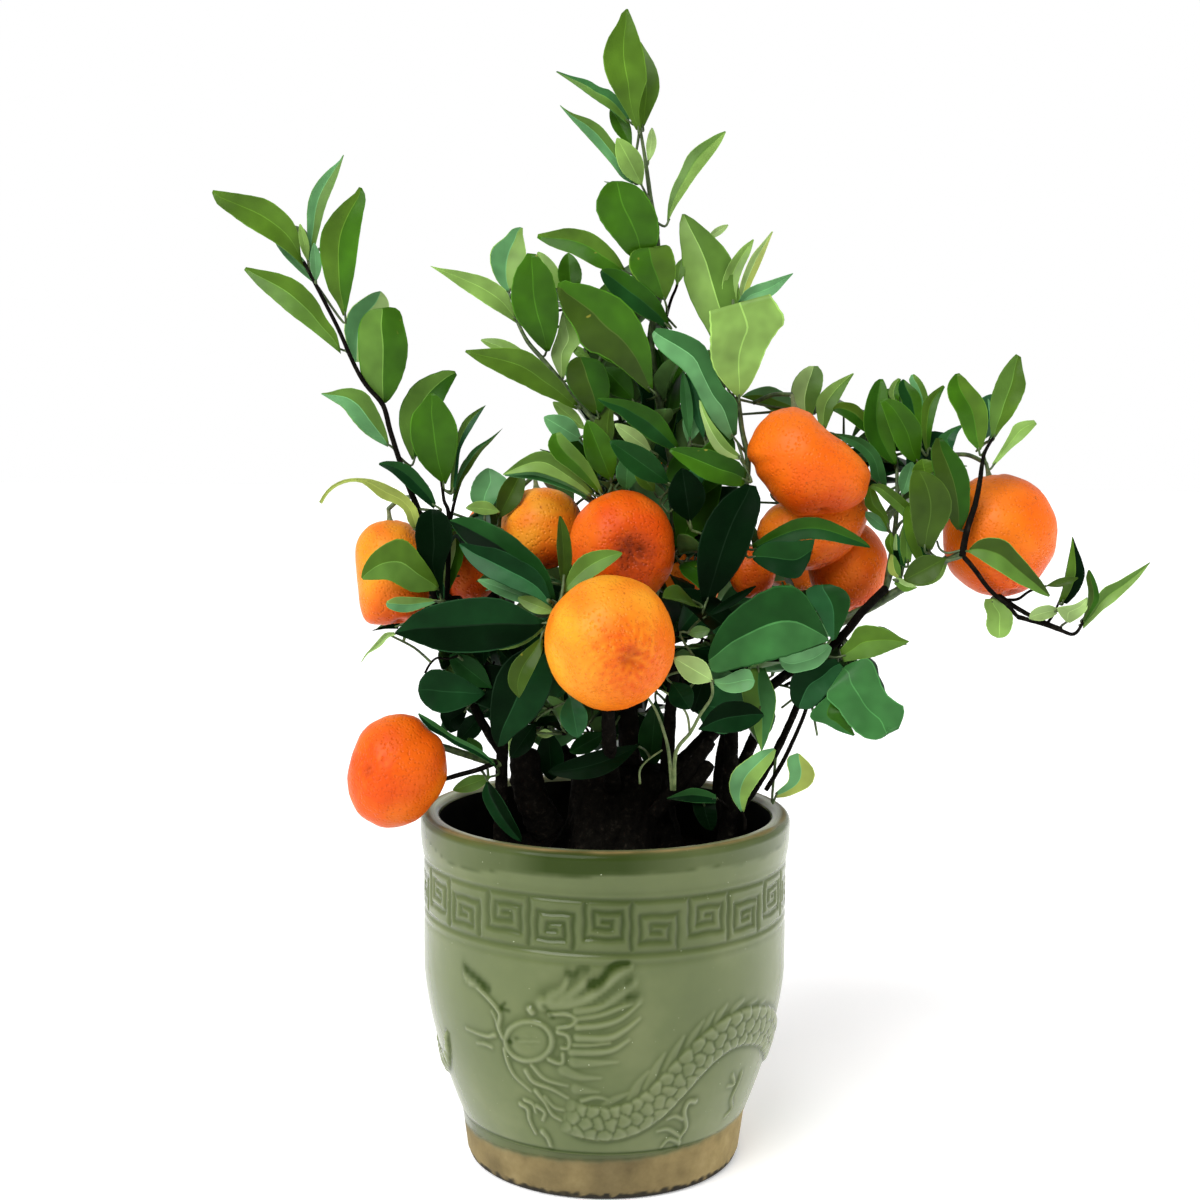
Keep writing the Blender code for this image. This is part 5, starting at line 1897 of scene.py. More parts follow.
def grow_spray(name, target, chance, number):
    """A twig from a shoot to the target, with leaves spiralling round it."""
    path = twig_path(target)
    if path is None:
        return
    last = len(path) - 1
    outward = (target - CROWN_MIDDLE).normalized()
    shade = shade_at(target, chance)
    leaves = []
    for step in range(LEAVES_PER_SPRAY):
        foot = path[max(1, round((1 - step * LEAF_SPACING) * last))]
        along = (path[-1] - path[0]).normalized()
        grown = grown_leaf(foot, along, outward, chance, number * 10 + step)
        if grown:
            shape, axis = grown
            leaves.append(shape)
            own_shade = shade if chance.random() < 0.7 else shade_at(target, chance)
            add_leaf(LEAF_PIECES[name], shape, (own_shade, own_shade), GROWN_LEAF)
            stalk = smooth_path([foot, foot + axis * 0.003, foot + axis * 0.007], 2)
            add_tube(TWIG_PIECES[name], stalk, [0.0008, 0.0007, 0.0006, 0.0006, 0.0005], 6, GREEN_BARK)
            ROOM.take(shape, GROWN_STRIPS)
            rows, columns = cells_of(upper_side(shape, GROWN_STRIPS).reshape(-1, 3))
            COVERED[rows, columns] = True
    if not leaves:
        return
    foot_radius = 0.0008 + min((path[-1] - path[0]).length, 0.08) * 0.010
    radii = [foot_radius + (0.0006 - foot_radius) * index / last for index in range(last + 1)]
    made = BARK if target.z < LOW_START and chance.random() < 0.6 else GREEN_BARK
    add_tube(TWIG_PIECES[name], path, radii, 7, made, 0.08, number)
    add_twig_nodes(path)


# Masses whose leaves the photograph shows one by one, and that have few others
OPEN_MASSES = ("foliage_centre_tip", "foliage_left_tip", "foliage_right_tip", "foliage_left_leader",
               "foliage_centre_left", "foliage_right_bough", "foliage_hanging_left")
OPEN_SPRAYS = 6
SPRAYS = 30
THICKET_SPRAYS = 26
FILLING_SPRAYS = 900


def grow_crown():
    """Sprays to places in every mass, those nearest the trunk first."""
    targets = []
    for name in MASS_NAMES:
        count = OPEN_SPRAYS if name in OPEN_MASSES else SPRAYS
        for place in spray_points(name, count, random.Random(name)):
            targets.append((name, place))
    for place in thicket_points(THICKET_SPRAYS, random.Random("thicket")):
        targets.append(("foliage_core", place))
    root = Vector((0.01, 0.01, 0.22))
    targets.sort(key=lambda entry: (entry[1] - root).length)
    for number, (name, place) in enumerate(targets, 1):
        grow_spray(name, place, random.Random(number * 7 + 1), number)


def fill_dense_parts():
    """Sprays to places that the photograph shows full of leaves and that are still bare."""
    chance = random.Random("filling")
    for number in range(FILLING_SPRAYS):
        bare = np.argwhere(DENSE & ~COVERED)
        if not len(bare):
            break
        row, column = bare[chance.randrange(len(bare))]
        place = at((column + 0.5) * CELL, (row + 0.5) * CELL, chance.uniform(-0.040, 0.070))
        if inside_masses(place, 0.002) or in_thicket(place):
            grow_spray(nearest_mass(place), place, chance, 1000 + number)


def belly_radius(height):
    if height >= BELLY_TOP:
        return WALL_RADIUS
    if height >= FOOT_TOP:
        share = (BELLY_TOP - height) / (BELLY_TOP - FOOT_TOP)
        return WALL_RADIUS - (WALL_RADIUS - FOOT_TOP_RADIUS) * share**BELLY_POWER
    return FOOT_RADIUS + (FOOT_TOP_RADIUS - FOOT_RADIUS) * height / FOOT_TOP


def lathe(profile, sides):
    """Vertices of a turned surface, ring by ring up the profile."""
    angles = np.linspace(0, 2 * math.pi, sides, endpoint=False)
    rows = []
    for radius, height in profile:
        rows.append(np.stack([radius * np.cos(angles), radius * np.sin(angles), np.full(sides, height)], axis=1))
    return np.concatenate(rows)


def arc(centre_radius, centre_height, rounding, start, end, steps):
    points = []
    for step in range(steps + 1):
        angle = math.radians(start + (end - start) * step / steps)
        points.append((centre_radius + rounding * math.cos(angle), centre_height + rounding * math.sin(angle)))
    return points


# The pot's relief: strokes read off the photograph, as pixels along each, half widths in
# millimetres at its two ends, height in millimetres, and how far its middle is hollowed
Stroke = namedtuple("Stroke", "pixels start_width end_width height hollow", defaults=(0.0,))

MANE = (
    Stroke(((543, 1004), (565, 1004), (586, 999), (603, 988), (617, 976), (632, 966)), 3.4, 0.8, 1.5, 0.35),
    Stroke(((550, 997), (562, 990), (568, 978)), 2.3, 0.8, 1.0, 0.3),
    Stroke(((562, 1000), (579, 988), (591, 976)), 2.6, 0.8, 1.1, 0.3),
    Stroke(((577, 1011), (600, 1007), (620, 995), (638, 981)), 2.3, 0.6, 1.3, 0.4),
    Stroke(((575, 1019), (600, 1015), (622, 1007), (641, 1000)), 1.7, 0.6, 1.1, 0.3),
    Stroke(((578, 1027), (602, 1025), (622, 1018), (642, 1001)), 1.9, 0.6, 1.3, 0.3),
    Stroke(((578, 1038), (608, 1038), (625, 1030), (640, 1018)), 2.2, 0.6, 1.4, 0.35),
    Stroke(((574, 1045), (592, 1045), (610, 1043)), 1.4, 0.6, 0.9),
    Stroke(((572, 1052), (600, 1052), (615, 1049), (629, 1040)), 2.1, 0.6, 1.4, 0.35),
    Stroke(((574, 1062), (594, 1063), (618, 1062)), 2.8, 0.5, 1.2, 0.5),
    Stroke(((564, 1070), (580, 1077), (601, 1078)), 2.8, 0.5, 1.2, 0.5),
    Stroke(((576, 1089), (588, 1091), (599, 1092)), 2.4, 0.5, 1.0, 0.5),
    Stroke(((582, 1101), (596, 1097), (609, 1100)), 1.4, 0.5, 0.8),
)
FACE = (
    Stroke(((530, 1009), (532, 1012)), 1.7, 1.7, 1.5),
    Stroke(((519, 1041), (540, 1041)), 0.9, 0.9, 1.0),
    Stroke(((522, 1036), (538, 1036)), 0.8, 0.8, 0.8),
    Stroke(((523, 1046), (539, 1046)), 0.8, 0.8, 0.8),
    Stroke(((550, 1014), (566, 1014), (577, 1019), (570, 1026), (558, 1028)), 1.2, 0.9, 1.1),
    Stroke(((558, 1032), (567, 1035), (570, 1042), (568, 1048), (562, 1048)), 1.3, 0.9, 1.1),
    Stroke(((549, 1059), (558, 1063), (563, 1062), (563, 1054)), 1.3, 0.9, 1.1),
)
BEARD = (
    Stroke(((505, 1049), (508, 1062), (515, 1076), (531, 1091)), 1.2, 0.6, 1.1),
    Stroke(((526, 1071), (534, 1082), (552, 1089), (568, 1098)), 1.3, 0.7, 1.0),
    Stroke(((532, 1065), (545, 1079), (568, 1086)), 1.2, 0.6, 0.9),
    Stroke(((536, 1091), (545, 1102), (552, 1114), (561, 1120)), 1.3, 0.8, 1.0),
    Stroke(((545, 1097), (554, 1107), (564, 1110)), 1.1, 0.7, 0.8),
)
WHISKERS = (
    Stroke(((503, 1037), (499, 1027), (500, 1014), (491, 1001), (477, 987), (467, 979), (463, 968)), 1.4, 0.6, 1.2),
    Stroke(((498, 1027), (496, 1019), (492, 1011)), 0.9, 0.6, 0.8),
    Stroke(((495, 1035), (486, 1036), (466, 1028)), 1.2, 0.5, 1.0),
    Stroke(((492, 1047), (485, 1044), (477, 1043)), 1.0, 0.5, 0.8),
)
CLAWS = (
    Stroke(((521, 1104), (528, 1109), (530, 1120), (536, 1133)), 1.4, 0.9, 1.1),
    Stroke(((525, 1100), (533, 1104), (536, 1112)), 1.2, 0.8, 1.0),
    Stroke(((537, 1106), (545, 1112), (543, 1120)), 1.2, 0.8, 1.0),
    Stroke(((543, 1132), (548, 1138), (551, 1146)), 1.8, 1.2, 1.1),
    Stroke(((695, 1101), (688, 1102), (684, 1113), (686, 1127), (679, 1138), (679, 1146)), 1.4, 0.9, 1.2),
    Stroke(((683, 1119), (675, 1116), (667, 1119)), 1.1, 0.7, 0.9),
    Stroke(((679, 1136), (668, 1129), (657, 1131)), 1.2, 0.7, 1.0),
    Stroke(((679, 1142), (669, 1139), (661, 1147)), 1.2, 0.7, 1.0),
    Stroke(((741, 1073), (738, 1082), (731, 1098), (731, 1108), (724, 1117)), 1.3, 0.8, 1.1),
    Stroke(((732, 1075), (734, 1084), (727, 1086)), 1.1, 0.7, 0.9),
)
FINS = (
    Stroke(((603, 1109), (614, 1100), (631, 1092)), 2.9, 0.5, 1.2, 0.6),
    Stroke(((632, 1101), (638, 1085), (649, 1071)), 3.3, 0.5, 1.3, 0.6),
    Stroke(((648, 1089), (655, 1070), (665, 1053)), 3.3, 0.5, 1.3, 0.6),
    Stroke(((668, 1071), (675, 1052), (684, 1036)), 3.3, 0.5, 1.4, 0.6),
    Stroke(((688, 1051), (694, 1035), (704, 1020)), 3.2, 0.5, 1.4, 0.6),
    Stroke(((702, 1038), (707, 1024), (714, 1012)), 2.8, 0.5, 1.2, 0.6),
    Stroke(((714, 1030), (719, 1016), (727, 1004)), 2.8, 0.5, 1.2, 0.6),
    Stroke(((728, 1022), (735, 1008), (744, 999)), 2.6, 0.5, 1.2, 0.6),
    Stroke(((742, 1017), (748, 1006), (757, 999)), 2.3, 0.5, 1.0, 0.6),
    Stroke(((754, 1013), (759, 1005), (765, 1000)), 2.0, 0.5, 0.9, 0.6),
)

# Hollows where the glaze lies thick and dark
POOLS = (
    Stroke(((464, 967), (474, 976), (489, 989)), 1.6, 1.6, 0.9),
    Stroke(((567, 973), (574, 975), (580, 969), (588, 969)), 1.4, 1.2, 1.0),
    Stroke(((591, 983), (598, 984), (605, 976)), 2.4, 1.6, 1.0),
    Stroke(((607, 971), (617, 964), (628, 963)), 1.5, 1.3, 1.0),
    Stroke(((627, 983), (632, 981)), 1.0, 0.9, 0.9),
    Stroke(((627, 999), (638, 997)), 1.0, 0.9, 0.9),
    Stroke(((505, 1003), (501, 1008), (509, 1011)), 1.0, 1.0, 0.5),
    Stroke(((509, 1041), (512, 1042)), 1.3, 1.3, 0.45),
    Stroke(((516, 1038), (518, 1038)), 1.1, 1.1, 0.40),
    Stroke(((545, 1006), (549, 1011), (553, 1018)), 1.4, 1.0, 0.35),
)
FACE_MIDDLE = (529, 1041)
FACE_RINGS = ((23.0, 19.5, 1.6, 1.1), (14.5, 11.0, 0.9, 0.7))
BODY = ((560, 1113), (582, 1121), (604, 1124), (627, 1120), (648, 1109), (667, 1092), (685, 1072),
        (704, 1052), (724, 1036), (745, 1026), (764, 1026))
TAIL = ((73, 73), (86, 60), (98, 54), (109, 58), (116, 68), (119, 79))
TAIL_LENGTH = 0.085
BODY_HALF_WIDTH = 0.0106
BODY_HEIGHT = 0.0010
BODY_FADE = 0.014
SCALE_LENGTH = 0.0074
SCALE_RADIUS = 0.0048
SCALE_HEIGHT = 0.0014
SCALE_WARP = 0.0008

# The key band: the places between pairs of spirals, counted from the front, by the angle round; its
# height, how far it sinks on the right in millimetres, how dark its grooves are, and the groove of
# one spiral in sevenths of its width and height. Every second spiral is the same turned upside down.
KEY_PAIRS = ((-180, -5.77), (-86.8, -3), (-55.2, -2), (-22.9, -1), (7.8, 0), (39.8, 1), (71.5, 2), (180, 5.23))
KEY_UNIT = 0.0277
KEY_LOW, KEY_HIGH = 0.1392, 0.1645
KEY_SINK = ((-180, 0.0), (-20, 0.0), (5, 0.7), (60, 1.0), (100, 0.0), (180, 0.0))
KEY_DARK = ((-180, 0.75), (-60, 0.60), (-28, 0.75), (-12, 1.0), (6, 1.0), (14, 0.75), (40, 0.80),
            (60, 0.60), (180, 0.75))
KEY_GROOVE = ((6.2, 0.0), (6.2, 5.1), (1.2, 5.1), (1.2, 1.4), (5.0, 1.4), (5.0, 3.7), (2.6, 3.7),
              (2.6, 2.65), (3.8, 2.65))
GROOVE_HALF_WIDTH = 0.0015
GROOVE_DEPTH = 0.0010
KEY_WOBBLE = 0.00025
BORDERS = ((0.1383, 1.0), (0.1653, 1.0), (0.1330, 0.40), (0.1690, 0.25))
POT_COLUMNS = 960
FOOT_SIDES, LIP_SIDES = 480, 300
FINE_ROW, COARSE_ROW = 0.00068, 0.00175
PLAIN_ZONES = ((0.112, 0.130), (0.168, 0.185))

# How low the dark glaze below the lip runs and how dark it is, and how low the glaze runs over the
# clay, each by the angle round from the front in degrees, the heights in millimetres
RIM_POOL_LOW = ((-180, 176), (-100, 179), (-75, 182), (-61, 176.4), (-49, 173.3), (-40, 174), (-23, 177),
                (12, 178), (29, 180), (44, 177), (60, 178), (77, 182), (100, 177), (140, 175), (180, 176))
RIM_POOL_DARK = ((-180, 0.5), (-80, 0.2), (-50, 0.30), (-29, 0.46), (-17, 0.95), (5, 0.92), (20, 0.50),
                 (28, 0.35), (60, 0.38), (80, 0.2), (180, 0.5))
GLAZE_LOW = ((-180, 25), (-110, 24), (-80, 19), (-45, 20.2), (-17, 21.8), (18, 23.2), (41, 26), (65, 29),
             (85, 31), (135, 27), (180, 25))
# How pale the inner half of the lip is by the angle round: a painted reflection, palest at the sides
LIP_PAINTED_REFLECTION = ((-180, 0.8), (-50, 1.0), (-25, 0.25), (25, 0.25), (45, 1.0), (180, 0.8))
# How much paler the glaze is by the angle round: a painted reflection towards the pot's sides, most on the right
SIDE_PAINTED_REFLECTION = ((-180, 0.10), (-90, 0.20), (-55, 0.12), (-30, 0.04), (0, 0.0), (30, 0.05), (50, 0.15), (65, 0.28),
              (80, 0.42), (100, 0.25), (180, 0.10))
# How much darker the bare clay is, by the angle round from the front
CLAY_DARK = ((-180, 0.3), (-60, 0.36), (-20, 0.42), (10, 0.44), (35, 0.20), (60, 0.0), (100, 0.1), (180, 0.3))
GLAZE_STEP = 0.0272
GLAZE_REACH = 16
DRIP = Stroke(((556, 1167), (590, 1171), (606, 1180), (626, 1182), (645, 1176), (664, 1166)), 1.3, 0.8, 0.28)


def unrolled(across, down):
    """Where a pixel of the photograph falls on the pot's wall: distance round from its front, height."""
    ray = sight(across, down)
    radius = WALL_RADIUS
    for _ in range(6):
        square = ray.x**2 + ray.y**2
        linear = EYE.x * ray.x + EYE.y * ray.y
        rest = EYE.x**2 + EYE.y**2 - radius**2
        reach = (-linear - max(linear**2 - square * rest, 0.0) ** 0.5) / square
        place = EYE + ray * reach
        radius = belly_radius(place.z)
    return (math.atan2(place.y, place.x) + math.pi / 2) * WALL_RADIUS, place.z


def segment_distance(rounds, heights, start, end):
    """Distance from a segment on the unrolled wall, the share along it, and the signed side."""
    run, rise = end[0] - start[0], end[1] - start[1]
    square = max(run**2 + rise**2, 1e-12)
    share = np.clip(((rounds - start[0]) * run + (heights - start[1]) * rise) / square, 0, 1)
    off_round = rounds - start[0] - share * run
    off_height = heights - start[1] - share * rise
    return np.hypot(off_round, off_height), share, off_height * run - off_round * rise


def smooth_line(points, steps):
    return [(spot.x, spot.z) for spot in smooth_path([Vector((x, 0, z)) for x, z in points], steps)]


def raise_line(relief, rounds, heights, line, widths, height, hollow=0.0):
    """Raises a ridge with steep sides along a line, keeping whatever is higher."""
    margin = max(widths) * 1.8
    low = [min(point[axis] for point in line) - margin for axis in (0, 1)]
    high = [max(point[axis] for point in line) + margin for axis in (0, 1)]
    near = (rounds > low[0]) & (rounds < high[0]) & (heights > low[1]) & (heights < high[1])
    if not near.any():
        return
    some_rounds, some_heights = rounds[near], heights[near]
    best = np.zeros(some_rounds.shape)
    count = len(line) - 1
    for index, (start, end) in enumerate(zip(line, line[1:])):
        distance, share, _ = segment_distance(some_rounds, some_heights, start, end)
        width = widths[0] + (widths[1] - widths[0]) * (index + share) / count
        ratio = distance / width
        profile = np.exp(-1.3 * ratio**2.4) * (1 - hollow * (1 - np.clip(ratio, 0, 1) ** 2))
        best = np.maximum(best, height * profile * (0.6 + 0.4 * width / max(widths)))
    relief[near] = np.maximum(relief[near], best)


def raise_stroke(relief, rounds, heights, stroke):
    line = smooth_line([unrolled(*pixel) for pixel in stroke.pixels], 4)
    widths = (stroke.start_width / 1000, stroke.end_width / 1000)
    raise_line(relief, rounds, heights, line, widths, stroke.height / 1000, stroke.hollow)


def scale_heights(along, aside):
    """Overlapping scales, each highest at its free end, which points to the tail."""
    height = np.zeros(along.shape)
    first = np.full(along.shape, np.inf)
    along = along + SCALE_WARP * np.sin(620 * aside + 270 * along)
    aside = aside + SCALE_WARP * np.sin(430 * along + 1.3)
    for row_step in (-1, 0, 1):
        row = np.round(aside / SCALE_LENGTH) + row_step
        shift = 0.5 * (row % 2)
        for column_step in (-2, -1, 0, 1):
            column = np.floor(along / SCALE_LENGTH - shift) + column_step
            off_along = along - (column + shift) * SCALE_LENGTH
            off_aside = aside - row * SCALE_LENGTH
            ratio = np.hypot(off_along, off_aside * 0.95) / SCALE_RADIUS
            above = (ratio < 1) & (column + shift < first)
            lift = (0.30 + 0.35 * (1 + off_along / SCALE_RADIUS)) * (1 - ratio**6)
            height = np.where(above, lift, height)
            first = np.where(above, column + shift, first)
    return height


def body_relief(rounds, heights):
    """The long body: a flat dome along its middle line, covered with scales."""
    tail = [(math.radians(angle) * WALL_RADIUS, height / 1000) for angle, height in TAIL]
    line = smooth_line([unrolled(*pixel) for pixel in BODY] + tail, 4)
    nearest = np.full(rounds.shape, np.inf)
    along = np.zeros(rounds.shape)
    aside = np.zeros(rounds.shape)
    passed = 0.0
    for start, end in zip(line, line[1:]):
        length = math.dist(start, end)
        distance, share, side = segment_distance(rounds, heights, start, end)
        closer = distance < nearest
        nearest = np.where(closer, distance, nearest)
        along = np.where(closer, passed + share * length, along)
        aside = np.where(closer, distance * np.sign(side), aside)
        passed += length
    half_width = BODY_HALF_WIDTH * np.clip((passed - along) / TAIL_LENGTH, 0.04, 1) ** 0.7
    inside = np.clip(1 - (nearest / half_width) ** 2, 0, 1) ** 0.5
    inside *= np.clip((along - 0.002) / BODY_FADE, 0, 1)
    scales = SCALE_HEIGHT * scale_heights(along, aside) * np.clip(inside * 2, 0, 1)
    return BODY_HEIGHT * inside + scales


def dragon_relief(rounds, heights):
    """The long-bodied beast on the pot's front: face, mane, beard, scaled body, fins and claws."""
    relief = np.zeros(rounds.shape)
    near = (rounds > -0.05) & (rounds < 0.22) & (heights < 0.13)
    relief[near] = body_relief(rounds[near], heights[near])
    middle = unrolled(*FACE_MIDDLE)
    disc = np.hypot(rounds - middle[0], heights - middle[1])
    relief = np.maximum(relief, 0.0007 * np.exp(-((disc / 0.0115) ** 6)))
    for half_across, half_up, width, height in FACE_RINGS:
        ring = []
        for step in range(25):
            angle = 2 * math.pi * step / 24
            ring.append(unrolled(FACE_MIDDLE[0] + half_across * math.cos(angle),
                                 FACE_MIDDLE[1] + half_up * math.sin(angle)))
        raise_line(relief, rounds, heights, ring, (width / 1000, width / 1000), height / 1000)
    for stroke in MANE + FACE + BEARD + WHISKERS + CLAWS + FINS:
        raise_stroke(relief, rounds, heights, stroke)
    return relief


def dark_pools(rounds, heights):
    pools = np.zeros(rounds.shape)
    for stroke in POOLS:
        raise_stroke(pools, rounds, heights, stroke)
    return np.minimum(pools * 1900, 1.0)


def key_band_depth(rounds, heights):
    """How deep the grooves of the key band are, from 0 to 1."""
    heights = heights + by_angle(rounds, KEY_SINK, 0.001)
    tall = KEY_HIGH - KEY_LOW
    place = 2 * by_angle(rounds, KEY_PAIRS, 1.0)
    number = np.floor(place)
    across = (place - number) * KEY_UNIT + KEY_WOBBLE * np.sin(310 * rounds + 500 * heights)
    up = heights - KEY_LOW + KEY_WOBBLE * np.sin(420 * rounds + 1.0)
    turned = number % 2 == 1
    across = np.where(turned, KEY_UNIT - across, across)
    up = np.where(turned, tall - up, up)
    groove = [(x * KEY_UNIT / 7, z * tall / 7) for x, z in KEY_GROOVE]
    nearest = np.abs(across)
    for start, end in zip(groove, groove[1:]):
        nearest = np.minimum(nearest, segment_distance(across, up, start, end)[0])
    within = (heights > KEY_LOW) & (heights < KEY_HIGH)
    depth = np.where(within, np.exp(-((nearest / GROOVE_HALF_WIDTH) ** 2)), 0.0)
    for height, share in BORDERS:
        border = share * np.exp(-(((heights - height) / GROOVE_HALF_WIDTH) ** 2))
        depth = np.maximum(depth, border)
    return depth


def outer_radius(height):
    """The wall, and its easy swelling into the lip."""
    swell = min(max((height - 0.160) / 0.020, 0.0), 1.0)
    return belly_radius(height) + (LIP_RADIUS - 0.0008 - WALL_RADIUS) * swell**2 * (3 - 2 * swell)


def wall_heights():
    """Rows up the wall, close together where there is relief."""
    top = POT_HEIGHT - LIP_ROUNDING
    heights = []
    height = FOOT_TOP
    while height < top:
        heights.append(height)
        plain = any(low < height < high for low, high in PLAIN_ZONES)
        height += COARSE_ROW if plain else FINE_ROW
    heights.append(top)
    return np.array(heights)


def neighbour_sum(field):
    return (np.roll(field, 1, 1) + np.roll(field, -1, 1) + np.vstack([field[:1], field[:-1]])
            + np.vstack([field[1:], field[-1:]]))


def by_angle(rounds, points, scale):
    """Values given at angles round the pot, in between those too."""
    return np.interp(np.degrees(rounds / WALL_RADIUS), [angle for angle, _ in points],
                     [value * scale for _, value in points])


def step_up(values, width):
    """From 0 to 1 where the values rise through nought."""
    return 1 / (1 + np.exp(-np.clip(values / width, -30, 30)))


def bare_clay(rounds, heights):
    """How bare of glaze the pot is, from 0 to 1."""
    low = by_angle(rounds, GLAZE_LOW, 0.001) + 0.0003 * np.sin(260 * rounds) + 0.0002 * np.sin(710 * rounds)
    return step_up(low - heights, 0.0006)


def edge_line(rounds, heights):
    """The dark line where the glaze gathers at its lower edge, and the one above it."""
    low = by_angle(rounds, GLAZE_LOW, 0.001)
    edge = 0.45 * np.exp(-(((heights - low - 0.0008) / 0.0008) ** 2))
    step = 0.85 * np.exp(-(((heights - GLAZE_STEP) / 0.0010) ** 2)) * step_up(GLAZE_STEP - low, 0.0006)
    return np.maximum(edge, step)


def softened(field, times):
    for _ in range(times):
        field = (neighbour_sum(field) + field) / 5
    return field


def build_wall():
    """The glazed outside, a fine surface with its relief in it, in a front and a back half."""
    rows = wall_heights()
    rounds = np.linspace(-math.pi, math.pi, POT_COLUMNS, endpoint=False)[None, :] * WALL_RADIUS
    rounds, heights = np.broadcast_arrays(rounds, rows[:, None])
    half_way = math.pi * WALL_RADIUS
    behind = np.where(rounds > 0, rounds - half_way, rounds + half_way)
    relief = softened(np.maximum(dragon_relief(rounds, heights), dragon_relief(behind, heights)), 1)
    relief = relief * np.clip((heights - FOOT_TOP) / 0.003, 0, 1)
    hollows = softened(np.maximum(dark_pools(rounds, heights), dark_pools(behind, heights)), 2)
    grooves = key_band_depth(rounds, heights)
    lines = edge_line(rounds, heights)
    wall = np.array([outer_radius(height) for height in rows])[:, None]
    radius = wall + relief - GROOVE_DEPTH * grooves - 0.0004 * hollows - 0.0003 * lines
    angle = rounds / WALL_RADIUS - math.pi / 2
    vertices = np.stack([radius * np.cos(angle), radius * np.sin(angle), heights], axis=2)
    wave = 0.0005 * np.sin(9 * angle + 2.0) + 0.0003 * np.sin(23 * angle)
    rim_pool = step_up(heights - by_angle(rounds, RIM_POOL_LOW, 0.001) - wave, 0.0003)
    rim_pool = rim_pool * by_angle(rounds, RIM_POOL_DARK, 1.0)
    rim_edge = heights - by_angle(rounds, RIM_POOL_LOW, 0.001) - wave
    rim_pool = np.maximum(rim_pool, 0.55 * np.exp(-((rim_edge / 0.0005) ** 2)))
    rise = relief - softened(relief, GLAZE_REACH)
    hollow = np.clip(-rise / 0.00020, 0, 1)
    ridge = np.clip(rise / 0.0006, 0, 1)
    in_band = step_up(heights - KEY_LOW, 0.0004) * step_up(KEY_HIGH - heights, 0.0004)
    key = (0.60 * grooves + 0.16 * in_band) * by_angle(rounds, KEY_DARK, 1.0)
    pool = np.clip(key + rim_pool + lines + hollows + 0.50 * hollow, 0, 1)
    # Paler on ridges, where the glaze runs thin and takes painted sheen, and towards the sides, a painted
    # reflection
    pale_glaze_and_sheen = np.clip(by_angle(rounds, SIDE_PAINTED_REFLECTION, 1.0) + 0.40 * ridge, 0, 1) * (1 - pool)
    marks = {"pool": pool, "pale_glaze_and_sheen": pale_glaze_and_sheen, "bare": bare_clay(rounds, heights), "stain_and_shade": 0 * pool}
    half = POT_COLUMNS // 2
    quarter = half // 2
    for name, first in (("pot_wall_front", quarter), ("pot_wall_back", quarter + half)):
        columns = np.arange(first, first + half + 1) % POT_COLUMNS
        piece = Piece(name)
        piece.add(vertices[:, columns].reshape(-1, 3), grid_faces(len(rows), half + 1), STONEWARE)
        made = piece.build("glazed_stoneware", "pot")
        add_marks(made, {key: values[:, columns].ravel() for key, values in marks.items()})


def build_foot():
    """The foot, glazed down to an uneven edge and bare below it."""
    profile = [(0.0, 0.0), (FOOT_RADIUS * 0.8, 0.0)]
    profile += arc(FOOT_RADIUS - FOOT_ROUNDING, FOOT_ROUNDING, FOOT_ROUNDING, -90, 0, 8)
    for height in np.linspace(FOOT_ROUNDING + 0.001, FOOT_TOP, 28):
        profile.append((belly_radius(height), height))
    vertices = lathe(profile, FOOT_SIDES)
    for spot in vertices:
        if spot[2] > 0.001:
            dent = 0.0035 * noise.noise(Vector(spot) * 70) + 0.003 * noise.noise(Vector(spot) * 25)
            ease = min(1.0, (FOOT_TOP - spot[2]) / 0.004)
            spot[:2] *= 1 + dent * ease
    rounds = np.arctan2(vertices[:, 0], -vertices[:, 1]) * WALL_RADIUS
    heights = vertices[:, 2]
    drips = np.zeros(len(vertices))
    raise_stroke(drips, rounds, heights, DRIP)
    ragged = np.array([noise.noise(Vector(spot) * 260) for spot in vertices])
    mottled = np.array([noise.noise(Vector(spot) * 60) for spot in vertices])
    # Darker along the ragged bottom edge, partly dirt and partly painted contact shadow, and along the glaze drip
    stain_and_shade = np.maximum(step_up(0.0040 + 0.0026 * ragged - heights, 0.0004), drips * 1000)
    # Darker clay by the angle round, most at the front
    stain_and_shade = np.maximum(stain_and_shade, by_angle(rounds, CLAY_DARK, 1.0) * (0.9 + 0.5 * mottled))
    piece = Piece("pot_foot")
    piece.add(vertices, grid_faces(len(profile), FOOT_SIDES, wrap=True), STONEWARE)
    made = piece.build("glazed_stoneware", "pot")
    add_marks(made, {"pool": edge_line(rounds, heights), "pale_glaze_and_sheen": 0 * stain_and_shade,
                     "bare": bare_clay(rounds, heights), "stain_and_shade": stain_and_shade})


